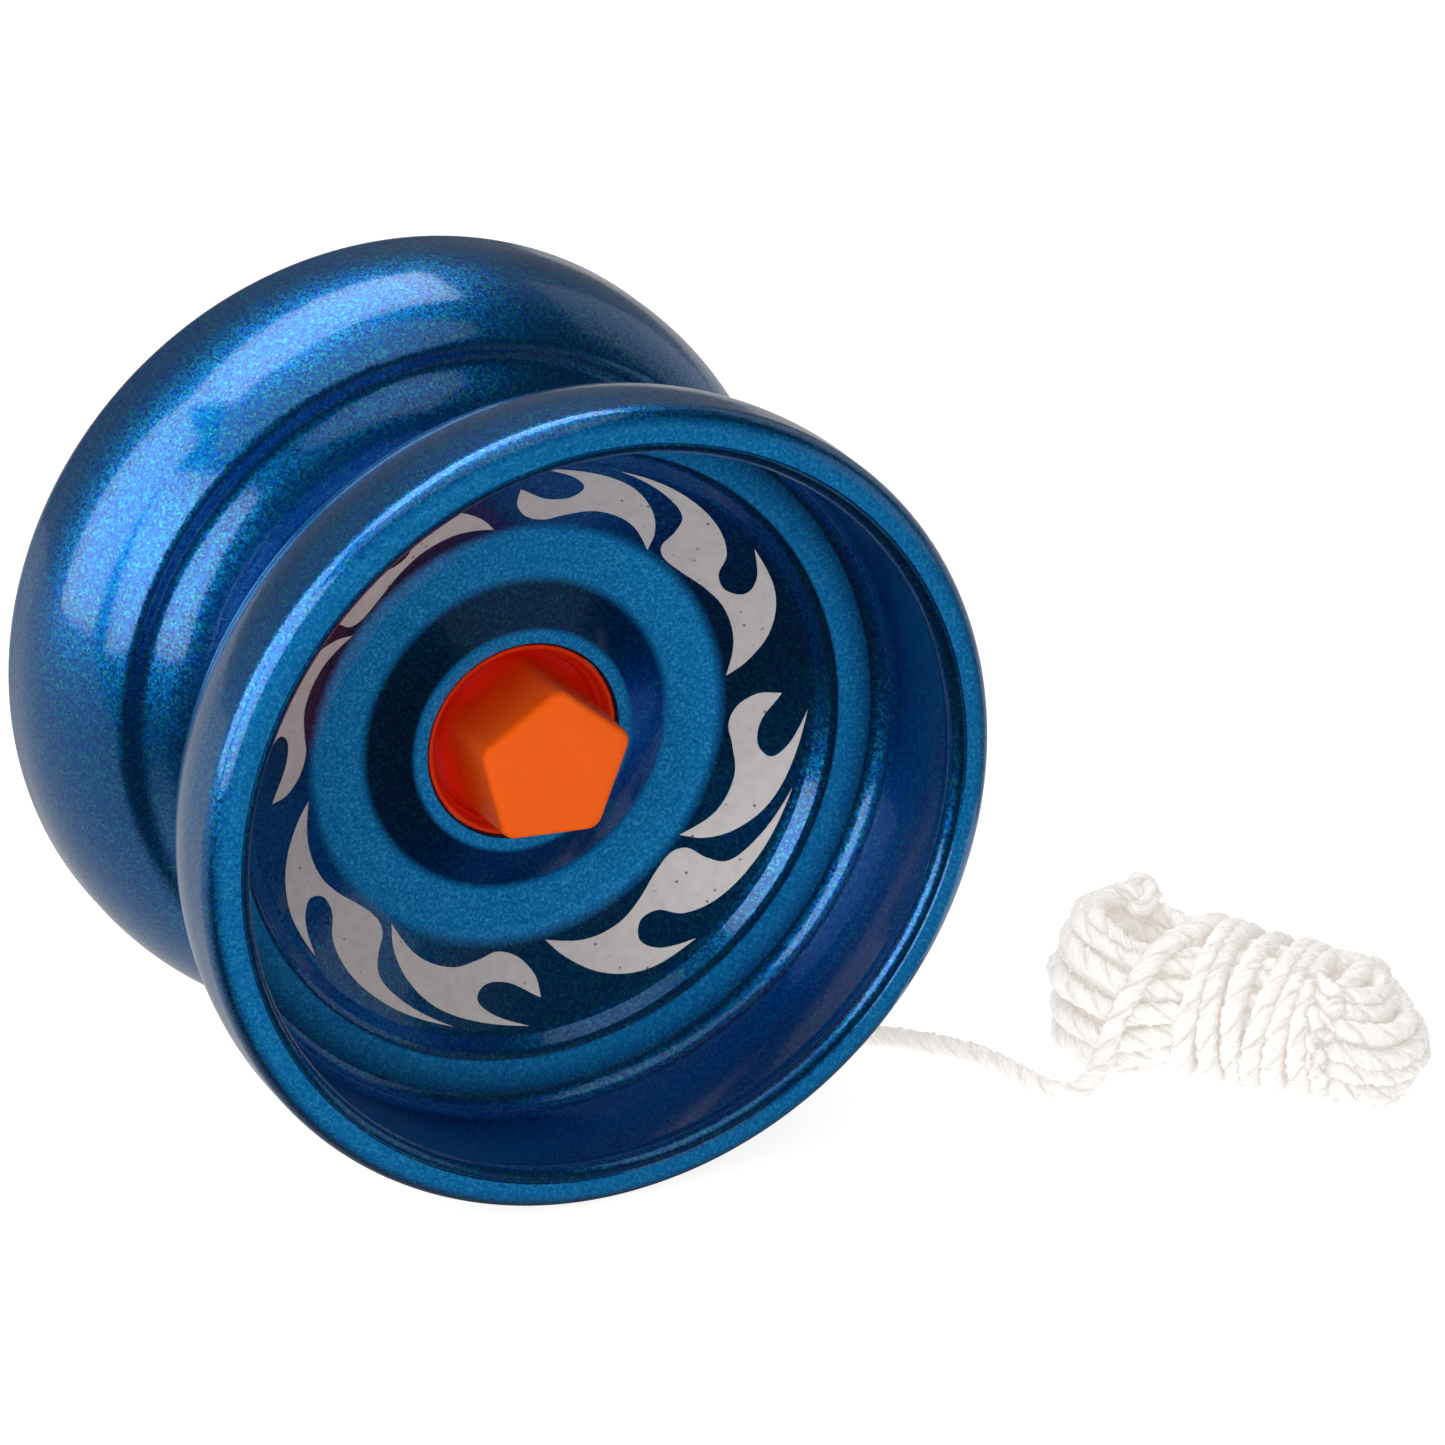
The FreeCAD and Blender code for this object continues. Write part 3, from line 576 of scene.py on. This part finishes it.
def pentagon_radius(angle, corner, rounding):
    """Radius of a five-sided outline with rounded corners, in a given direction."""
    eighth = math.radians(36)
    flat = corner * math.cos(eighth)
    off = (angle - math.radians(PRISM_TURN)) % (2 * eighth)
    if off > eighth:
        off = off - 2 * eighth
    off = abs(off)
    hub = (flat - rounding) / math.cos(eighth)
    touch = math.atan2(hub * math.sin(eighth), flat)
    from_side = eighth - off
    if from_side < touch:
        return flat / math.cos(from_side)
    return hub * math.cos(off) + math.sqrt(rounding ** 2 - (hub * math.sin(off)) ** 2)


# Rings of the cap from its top's middle outwards: reach, size, corner rounding, and how much of
# the five-sided outline there is in it (0 is a circle of that radius).
def cap_rings():
    rings = []
    for share in (0.0, 0.12, 0.25, 0.4, 0.55, 0.7, 0.82, 0.9):
        crown = 0.10 * (1.0 - share ** 2)
        rings.append((10.26 + crown, 5.24 * share, 1.0 * share, 1.0))
    for step in range(0, 7):
        angle = math.radians(90 * step / 6)
        rings.append((9.78 + 0.48 * math.cos(angle), 5.27 + 0.48 * math.sin(angle), 1.05, 1.0))
    for share in (0.2, 0.4, 0.6, 0.8, 1.0):
        rings.append((9.78 - 4.68 * share, 5.75 + 0.13 * share, 1.05 + 0.15 * share, 1.0))
    for step in range(1, 9):
        angle = math.radians(90 * step / 8)
        spread = 1.0 - math.cos(angle)
        drop = math.sin(angle)
        rings.append((5.1 - 1.75 * drop, 5.88 + 0.5 * spread, 1.2 + 1.6 * spread,
                      1.0 - 0.75 * spread ** 1.5))
    rings += [(3.28, 5.62, 1.0, 0.0), (3.26, 5.72, 1.0, 0.0), (3.30, 5.84, 1.0, 0.0),
              (3.42, 5.94, 1.0, 0.0), (3.60, 5.99, 1.0, 0.0), (3.86, 6.03, 1.0, 0.0),
              (3.92, 6.07, 1.0, 0.0), (3.95, 6.22, 1.0, 0.0), (4.02, 6.28, 1.0, 0.0),
              (4.62, 6.44, 1.0, 0.0), (4.72, 6.47, 1.0, 0.0), (4.76, 6.53, 1.0, 0.0),
              (4.77, 6.66, 1.0, 0.0), (4.74, 6.74, 1.0, 0.0), (4.66, 6.77, 1.0, 0.0),
              (2.85, 6.77, 1.0, 0.0), (2.75, 6.67, 1.0, 0.0), (2.75, 4.36, 1.0, 0.0),
              (2.80, 4.30, 1.0, 0.0), (3.20, 4.30, 1.0, 0.0), (3.20, 3.02, 1.0, 0.0),
              (3.25, 3.00, 1.0, 0.0), (8.50, 3.00, 1.0, 0.0), (8.50, 0.0, 1.0, 0.0)]
    return rings


def make_cap(side_name, material, segments=200):
    side = SIDES[side_name]
    vertices = []
    faces = []
    rings = cap_rings()
    starts = []
    for reach, spread, rounding, five in rings:
        starts.append(len(vertices))
        if spread == 0.0:
            vertices.append((0.0, side * reach * MM, AXLE_HEIGHT))
            continue
        for step in range(segments):
            angle = 2 * math.pi * step / segments
            sided = pentagon_radius(angle, spread, rounding) if five > 0 else spread
            radius = sided * five + spread * (1.0 - five)
            across = side * radius * math.cos(angle)
            vertices.append((across * MM, side * reach * MM,
                             AXLE_HEIGHT + radius * MM * math.sin(angle)))
    for index in range(len(rings) - 1):
        here = starts[index]
        there = starts[index + 1]
        one_here = rings[index][1] == 0.0
        one_there = rings[index + 1][1] == 0.0
        for step in range(segments):
            after = (step + 1) % segments
            if one_here:
                faces.append((here, there + step, there + after))
            elif one_there:
                faces.append((here + step, here + after, there))
            else:
                faces.append((here + step, here + after, there + after, there + step))
    cap = new_object(side_name + "_cap_moulding", vertices, faces, material, math.radians(50))
    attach(cap, side_name + "_side")
    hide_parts(side_name + "_hub_cap")
    return cap


# ------------------------------------------------------------------ string

STRING_DIAMETER = 1.5
STRAND_OFFSET = 0.22
STRAND_RADIAL = 0.53
STRAND_BROAD = 0.70
LAY_PITCH = 4.6
RING_STEP = 0.30

# The free stretch, as in the CAD: from the loop round the bearing to the hank, mm.
LEAD_ROUTE = [
    (4.55, 0.0, 21.50),
    (8.70, 0.0, 15.50),
    (13.10, -0.3, 9.00),
    (17.30, -1.2, 3.60),
    (22.30, -2.9, 0.98),
    (27.20, -5.8, 0.78),
    (30.90, -9.8, 0.78),
    (32.40, -14.1, 0.78),
    (32.90, -17.9, 0.80),
    (34.40, -20.2, 1.20),
    (36.70, -19.1, 2.80),
]
HANK_MIDDLE = (46.6, -19.8)
HANK_TURN = math.radians(-46.5)
FLOOR_CLEAR = 0.78
WRAPS = 7
WRAP_START = -3.4
WRAP_ADVANCE = 1.58
ROW_HALF = 3.4

# Wound loops, inner to outer and back: row height, half width in the middle and at the ends,
# half length at the left and at the right.
HANK_LOOPS = [
    (-3.4, 0.9, 3.3, 11.2, 11.6),
    (-2.04, 0.8, 2.2, 8.6, 8.8),
    (-2.04, 2.3, 3.8, 10.6, 10.9),
    (-2.04, 3.6, 5.4, 12.6, 12.6),
    (-0.68, 4.3, 5.9, 12.9, 13.2),
    (-0.68, 2.5, 4.1, 11.0, 11.3),
    (-0.68, 0.8, 2.3, 9.0, 9.2),
    (0.68, 0.8, 2.3, 9.2, 9.0),
    (0.68, 2.5, 4.2, 11.2, 11.2),
    (0.68, 4.3, 6.0, 13.0, 13.1),
    (1.5, 3.2, 4.9, 12.2, 11.9),
    (2.04, 3.6, 5.3, 12.0, 12.4),
    (2.04, 2.3, 3.7, 10.6, 10.6),
    (2.04, 0.8, 2.2, 9.3, 8.6),
    (2.8, 2.0, 3.6, 11.4, 10.9),
    (3.4, 1.0, 3.0, 10.6, 10.4),
]
KNOT_PLACE = (43.1, -11.8, 11.0)
PEAK_LIFT = 2.6


def smooth(low, high, value):
    share = min(1.0, max(0.0, (value - low) / (high - low)))
    return share * share * (3 - 2 * share)


def hank_point(along, across, height):
    """From the hank's own axes to the row frame, mm."""
    cosine = math.cos(HANK_TURN)
    sine = math.sin(HANK_TURN)
    return (HANK_MIDDLE[0] + along * cosine - across * sine,
            HANK_MIDDLE[1] + along * sine + across * cosine, height)


def row_height(row, along):
    """Height of a row of strands: the ends fan out, the middle lies on the wraps."""
    fan = 1.0 + 0.16 * smooth(3.0, 10.0, -along) + 0.06 * smooth(7.0, 11.0, along)
    held = smooth(-7.5, -4.0, along) * (1.0 - smooth(8.0, 11.0, along))
    base = FLOOR_CLEAR + STRING_DIAMETER * held
    droop = 0.10 * smooth(2.0, 13.0, along)
    return base + (row + ROW_HALF) * fan * (1.0 - droop)


def wrap_points():
    """The turns round the hank's middle, after the lead has climbed its near side."""
    points = [(-6.9, -6.75, 5.2), (-5.6, -5.9, 8.2), (-4.4, -2.6, 10.5)]
    count = 14
    for step in range(4, WRAPS * count + 10):
        turn = step / count
        angle = 2 * math.pi * turn
        along = WRAP_START + WRAP_ADVANCE * turn
        uneven = 0.22 * math.sin(2.3 * turn * 2 * math.pi / 3 + 0.7) * math.sin(angle * 0.5)
        wide = 6.15 - 0.15 * math.cos(turn * 1.9)
        tall = 4.9 - 0.075 * (along + 3.0)
        lean = 0.55 * math.sin(angle) * math.sin(1.7 * turn + 0.4)
        height = FLOOR_CLEAR + tall + tall * math.sin(angle)
        points.append((along + uneven + lean, -wide * math.cos(angle), height))
    return points


def loop_points():
    """The long turns: out along one side, round the end, back along the other."""
    points = []
    for index, (row, middle, ends, left, right) in enumerate(HANK_LOOPS):
        onward = HANK_LOOPS[min(index + 1, len(HANK_LOOPS) - 1)][0]
        path = []
        for along in (2.5, 7.0):
            path.append((along, 1.0))
        for step in range(5):
            angle = math.radians(90 - 45 * step)
            path.append(("right", angle))
        for along in (7.0, 2.5, -2.0, -6.5):
            path.append((along, -1.0))
        for step in range(5):
            angle = math.radians(270 - 45 * step)
            path.append(("left", angle))
        for along in (-6.5, -2.0):
            path.append((along, 1.0))
        for place, (key, value) in enumerate(path):
            if key == "right":
                along = right - ends + ends * math.cos(value)
                across = ends * math.sin(value)
            elif key == "left":
                along = -left + ends + ends * math.cos(value)
                across = ends * math.sin(value)
            else:
                along = key
                opened = max(smooth(2.5, 8.5, abs(along - 1.5)), 0.0)
                across = value * (middle + (ends - middle) * opened)
            stage = place / len(path)
            level = row + (onward - row) * smooth(0.78, 1.0, stage)
            drift = noise.noise_vector(Vector((along * 0.16, across * 0.21, index * 3.7)))
            along += 0.45 * drift.x
            across += 0.50 * drift.y
            height = row_height(level, along) + 0.42 * drift.z
            height += PEAK_LIFT * smooth(4.0, 9.0, -along) * smooth(-2.0, ROW_HALF, level)
            points.append((along, across, max(height, FLOOR_CLEAR)))
    return points


def string_route():
    """Every control point of the string, in metres in the row frame."""
    route = list(LEAD_ROUTE)
    for point in wrap_points() + loop_points()[:-2]:
        route.append(hank_point(*point))
    route.append((42.2, -12.6, 10.2))
    route.append(KNOT_PLACE)
    return [Vector(point) * MM for point in route]


def read_spline(route, closed=False):
    """Points along a smooth NURBS spline that has the route as its control points."""
    curve = bpy.data.curves.new("string_line", "CURVE")
    curve.dimensions = "3D"
    curve.resolution_u = 10
    spline = curve.splines.new("NURBS")
    spline.points.add(len(route) - 1)
    for point, place in zip(spline.points, route):
        point.co = (*place, 1.0)
    spline.order_u = 3
    spline.use_cyclic_u = closed
    spline.use_endpoint_u = not closed
    holder = bpy.data.objects.new("string_line", curve)
    bpy.context.scene.collection.objects.link(holder)
    mesh = bpy.data.meshes.new_from_object(holder)
    points = [vertex.co.copy() for vertex in mesh.vertices]
    bpy.data.meshes.remove(mesh)
    bpy.data.objects.remove(holder)
    bpy.data.curves.remove(curve)
    return points


def even_points(points, step, closed=False):
    """The same line again, with its points a fixed step apart."""
    line = np.array([tuple(p) for p in points])
    if closed:
        line = np.vstack([line, line[:1]])
    lengths = np.linalg.norm(np.diff(line, axis=0), axis=1)
    keep = np.concatenate([[True], lengths > 1e-9])
    line = line[keep]
    along = np.concatenate([[0.0], np.cumsum(np.linalg.norm(np.diff(line, axis=0), axis=1))])
    count = max(8, int(round(along[-1] / step)))
    places = np.linspace(0.0, along[-1], count + 1)
    even = np.stack([np.interp(places, along, line[:, axis]) for axis in range(3)], 1)
    if closed:
        even = even[:-1]
    return even, along[-1]


def carried_frames(line, closed):
    """A tangent and a side vector at each point, turning as little as possible."""
    if closed:
        tangents = np.roll(line, -1, 0) - np.roll(line, 1, 0)
    else:
        tangents = np.gradient(line, axis=0)
    tangents /= np.linalg.norm(tangents, axis=1)[:, None]
    start = np.array([0.0, 1.0, 0.0])
    if abs(tangents[0] @ start) > 0.9:
        start = np.array([1.0, 0.0, 0.0])
    sides = np.zeros_like(line)
    side = start
    for index, tangent in enumerate(tangents):
        side = side - tangent * (side @ tangent)
        side /= np.linalg.norm(side)
        sides[index] = side
    return tangents, sides, np.cross(tangents, sides)


def twisted_string(name, points, material, closed=False, shrink=1.0, sides=10):
    """Two soft strands twisted round each other along a line."""
    line, length = even_points(points, RING_STEP * MM, closed)
    tangents, first, second = carried_frames(line, closed)
    count = len(line)
    step = length / (count if closed else count - 1)
    turns = length / (LAY_PITCH * MM)
    if closed:
        turns = round(turns)
    vertices = []
    faces = []
    places = []
    for strand in range(2):
        base = len(vertices)
        for index in range(count):
            share = index / (count if closed else count - 1)
            wander = 0.5 * noise.noise(Vector((index * step / MM * 0.11, 3.1, 0.0)))
            angle = 2 * math.pi * (turns * share + strand / 2) + (0 if closed else wander)
            puff = 1.0 + 0.16 * noise.noise(Vector((index * step / MM * 0.8, strand * 9.0, 5.0)))
            out = first[index] * math.cos(angle) + second[index] * math.sin(angle)
            broad = second[index] * math.cos(angle) - first[index] * math.sin(angle)
            taper = 1.0
            if not closed:
                taper = min(1.0, 0.3 + min(index, count - 1 - index) / 3)
            centre = line[index] + out * (STRAND_OFFSET * MM * shrink)
            for corner in range(sides):
                phase = 2 * math.pi * corner / sides
                spread = out * (math.cos(phase) * STRAND_RADIAL) \
                    + broad * (math.sin(phase) * STRAND_BROAD)
                lump = 1.0 + 0.30 * noise.noise(Vector((index * step / MM * 1.9,
                                                        phase * 1.3, strand * 9.0)))
                vertices.append(centre + spread * (MM * shrink * puff * taper * lump))
                places.append((index * step / MM, corner / sides + strand * 7.3))
        rings = count if closed else count - 1
        for index in range(rings):
            here = base + index * sides
            there = base + ((index + 1) % count) * sides
            for corner in range(sides):
                after = (corner + 1) % sides
                faces.append((here + corner, here + after, there + after, there + corner))
        if not closed:
            faces.append(tuple(base + corner for corner in range(sides)))
            last = base + (count - 1) * sides
            faces.append(tuple(last + corner for corner in reversed(range(sides))))
    piece = new_object(name, vertices, faces, material, math.radians(80))
    layer = piece.data.uv_layers.new(name="strand")
    for loop in piece.data.loops:
        along, around = places[loop.vertex_index]
        layer.data[loop.index].uv = (along, around)
    for polygon in piece.data.polygons:
        corners = [layer.data[i] for i in polygon.loop_indices]
        highest = max(corner.uv[1] for corner in corners)
        lowest = min(corner.uv[1] for corner in corners)
        if highest - lowest > 0.5 and len(corners) == 4:
            for corner in corners:
                if corner.uv[1] < highest - 0.5:
                    corner.uv = (corner.uv[0], corner.uv[1] + 1.0)
    return piece, line, length


def make_string(material):
    route = string_route()
    string, line, length = twisted_string("string_cord", read_spline(route), material)
    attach(string, "string_side")
    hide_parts("string_lead", "string_hank")

    ring = []
    for step in range(24):
        angle = 2 * math.pi * step / 24
        ring.append(HUB + Vector((math.cos(angle), 0.0, math.sin(angle))) * (7.18 * MM))
    loop = twisted_string("string_bearing_loop", read_spline(ring, True), material, True)[0]
    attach(loop, "string_side")
    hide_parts("string_axle_loop")

    tie = []
    for step in range(21):
        t = 2 * math.pi * (step + 0.3) / 21
        tie.append(Vector(KNOT_PLACE) * MM + Vector((
            math.sin(t) + 2 * math.sin(2 * t),
            math.cos(t) - 2 * math.cos(2 * t),
            -1.15 * math.sin(3 * t))) * (0.50 * MM))
    knot = twisted_string("string_knot_tied", read_spline(tie, True), material, True, 0.86)[0]
    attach(knot, "string_side")
    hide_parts("string_end_knot")
    print("string length", length)


FLAKE_TILT = 0.18


# ------------------------------------------------------------------ finishes of the CAD nodes

def dress_cad_nodes():
    steel = turned_metal("bearing_steel", (0.70, 0.70, 0.72), 0.16, 0.05, 0.004)
    sheet = turned_metal("sheet_steel", (0.60, 0.61, 0.63), 0.30, 0.08, 0.006)
    brass = turned_metal("insert_brass", (0.71, 0.50, 0.20), 0.28, 0.10, 0.010)
    aluminium = turned_metal("spacer_aluminium", (0.78, 0.79, 0.80), 0.30, 0.10, 0.010)
    thread = threaded_steel()
    pads = silicone()
    finishes = {
        "axle": thread,
        "bearing_outer_race": steel,
        "bearing_inner_race": steel,
        "bearing_balls": steel,
        "bearing_cage": sheet,
    }
    for side_name in SIDES:
        finishes[side_name + "_bearing_shield"] = sheet
        finishes[side_name + "_shield_clip"] = sheet
        finishes[side_name + "_threaded_insert"] = brass
        finishes[side_name + "_spacer"] = aluminium
        finishes[side_name + "_response_pad"] = pads
    for node_name, material in finishes.items():
        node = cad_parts[node_name]
        node.data.materials.clear()
        node.data.materials.append(material)


# ------------------------------------------------------------------ stage

def direction(azimuth, elevation):
    """From the object towards a viewer at that azimuth and elevation, in degrees."""
    turn = math.radians(azimuth)
    rise = math.radians(elevation)
    return Vector((math.sin(turn) * math.cos(rise), -math.cos(turn) * math.cos(rise),
                   math.sin(rise)))


def make_camera():
    data = bpy.data.cameras.new("camera")
    data.sensor_width = 36.0
    data.lens = 172.75
    data.clip_start = 0.01
    data.clip_end = 20.0
    camera = bpy.data.objects.new("camera", data)
    bpy.context.scene.collection.objects.link(camera)
    camera.location = HUB + direction(-23.46, 23.53) * 0.4648
    camera.rotation_mode = "QUATERNION"
    camera.rotation_quaternion = (-direction(-25.52, 23.61)).to_track_quat("-Z", "Y")
    bpy.context.scene.camera = camera


def make_softbox(name, towards, distance, width, height, radiance, roll=0.0):
    """A rectangular area light that faces the hub."""
    data = bpy.data.lights.new(name, "AREA")
    data.shape = "RECTANGLE"
    data.size = width
    data.size_y = height
    data.energy = radiance * math.pi * width * height
    light = bpy.data.objects.new(name, data)
    bpy.context.scene.collection.objects.link(light)
    heading = Vector(towards).normalized()
    light.location = HUB + heading * distance
    light.rotation_mode = "QUATERNION"
    light.rotation_quaternion = heading.to_track_quat("Z", "Y")
    light.visible_camera = False
    return light


def make_floor():
    """A pale floor. Its gloss reflection in the object is toned down, as under a dark studio."""
    nodes = Nodes("floor")
    diffuse = nodes.add("ShaderNodeBsdfDiffuse")
    diffuse.inputs["Color"].default_value = (0.30, 0.30, 0.30, 1.0)
    glow = nodes.add("ShaderNodeEmission")
    glow.inputs["Color"].default_value = (1.0, 1.0, 1.0, 1.0)
    glow.inputs["Strength"].default_value = FLOOR_GLOW
    both = nodes.add("ShaderNodeAddShader")
    nodes.link(diffuse.outputs[0], both.inputs[0])
    nodes.link(glow.outputs[0], both.inputs[1])
    place = nodes.position(1000.0)
    parts = nodes.add("ShaderNodeSeparateXYZ")
    nodes.link(place, parts.inputs["Vector"])
    ahead = nodes.span(parts.outputs["Y"], -2.0, -20.0, 0.0, 1.0)
    toned = nodes.add("ShaderNodeEmission")
    nodes.link(nodes.span(ahead, 0.0, 1.0, FLOOR_TONE, FLOOR_TONE_AHEAD),
               toned.inputs["Strength"])
    rays = nodes.add("ShaderNodeLightPath")
    pick = nodes.add("ShaderNodeMixShader")
    nodes.link(rays.outputs["Is Glossy Ray"], pick.inputs["Fac"])
    nodes.link(both.outputs[0], pick.inputs[1])
    nodes.link(toned.outputs[0], pick.inputs[2])
    nodes.link(pick.outputs[0], nodes.output.inputs["Surface"])
    vertices = [(0.0, 0.0, 0.0)]
    faces = []
    count = 96
    for step in range(count):
        angle = 2 * math.pi * step / count
        vertices.append((3.0 * math.cos(angle), 3.0 * math.sin(angle), 0.0))
        faces.append((0, 1 + step, 1 + (step + 1) % count))
    floor = new_object("floor", vertices, faces, nodes.material)
    floor.location = (0.0, 0.0, -0.00002)


def make_world():
    world = bpy.data.worlds.new("studio")
    bpy.context.scene.world = world
    world.use_nodes = True
    tree = world.node_tree
    tree.nodes.clear()
    output = tree.nodes.new("ShaderNodeOutputWorld")
    dark = tree.nodes.new("ShaderNodeBackground")
    dark.inputs["Color"].default_value = (1.0, 1.0, 1.0, 1.0)
    pale = tree.nodes.new("ShaderNodeBackground")
    pale.inputs["Color"].default_value = (1.0, 1.0, 1.0, 1.0)
    pale.inputs["Strength"].default_value = 1.0
    rays = tree.nodes.new("ShaderNodeLightPath")
    pick = tree.nodes.new("ShaderNodeMixShader")
    heading = tree.nodes.new("ShaderNodeSeparateXYZ")
    tree.links.new(tree.nodes.new("ShaderNodeTexCoord").outputs["Generated"],
                   heading.inputs["Vector"])
    behind = tree.nodes.new("ShaderNodeMapRange")
    behind.interpolation_type = "SMOOTHSTEP"
    behind.inputs["From Min"].default_value = 0.05
    behind.inputs["From Max"].default_value = 0.45
    behind.inputs["To Min"].default_value = WORLD_IN_GLOSS
    behind.inputs["To Max"].default_value = BACKDROP_IN_GLOSS
    tree.links.new(heading.outputs["Y"], behind.inputs["Value"])
    dim = tree.nodes.new("ShaderNodeMix")
    tree.links.new(rays.outputs["Is Glossy Ray"], dim.inputs["Factor"])
    dim.inputs["A"].default_value = WORLD_LIGHT
    tree.links.new(behind.outputs["Result"], dim.inputs["B"])
    tree.links.new(dim.outputs["Result"], dark.inputs["Strength"])
    tree.links.new(rays.outputs["Is Camera Ray"], pick.inputs["Fac"])
    tree.links.new(dark.outputs[0], pick.inputs[1])
    tree.links.new(pale.outputs[0], pick.inputs[2])
    tree.links.new(pick.outputs[0], output.inputs["Surface"])


FLOOR_GLOW = 0.86
FLOOR_TONE = 0.46
FLOOR_TONE_AHEAD = 0.03
WORLD_LIGHT = 0.12
WORLD_IN_GLOSS = 0.02
BACKDROP_IN_GLOSS = 0.14
FILL_LIGHT = 2.65


def make_stage():
    bpy.context.scene.view_settings.view_transform = "Standard"
    make_camera()
    make_floor()
    make_world()
    make_softbox("softbox_top", (-0.07, 0.31, 0.94), 0.55, 0.62, 0.26, 3.8)
    make_softbox("softbox_top_front", (-0.10, -0.25, 0.96), 0.55, 0.62, 0.42, 0.8)
    make_softbox("softbox_left", (-0.90, 0.25, 0.44), 0.55, 0.30, 0.52, 3.1)
    make_softbox("softbox_left_front", (-0.86, -0.38, 0.32), 0.55, 0.34, 0.46, 3.2)
    make_softbox("softbox_right", (0.90, 0.35, 0.36), 0.60, 0.30, 0.40, 0.3)
    make_softbox("softbox_front", (0.37, -0.90, 0.24), 0.60, 0.50, 0.25, 0.14)
    make_softbox("softbox_right_front", (0.88, -0.42, 0.15), 0.60, 0.30, 0.30, 0.5)
    fill = make_softbox("softbox_fill", (-0.42, -0.82, 0.36), 0.90, 0.85, 0.75, FILL_LIGHT)
    fill.visible_glossy = False


# ------------------------------------------------------------------ assembly

def build():
    paint = flake_paint()
    alloy = bare_alloy()
    orange = orange_plastic()
    white = cotton()
    for side_name in SIDES:
        make_half(side_name, paint)
        make_flames(side_name, alloy)
        make_cap(side_name, orange)
    make_string(white)
    dress_cad_nodes()
    make_stage()


build()
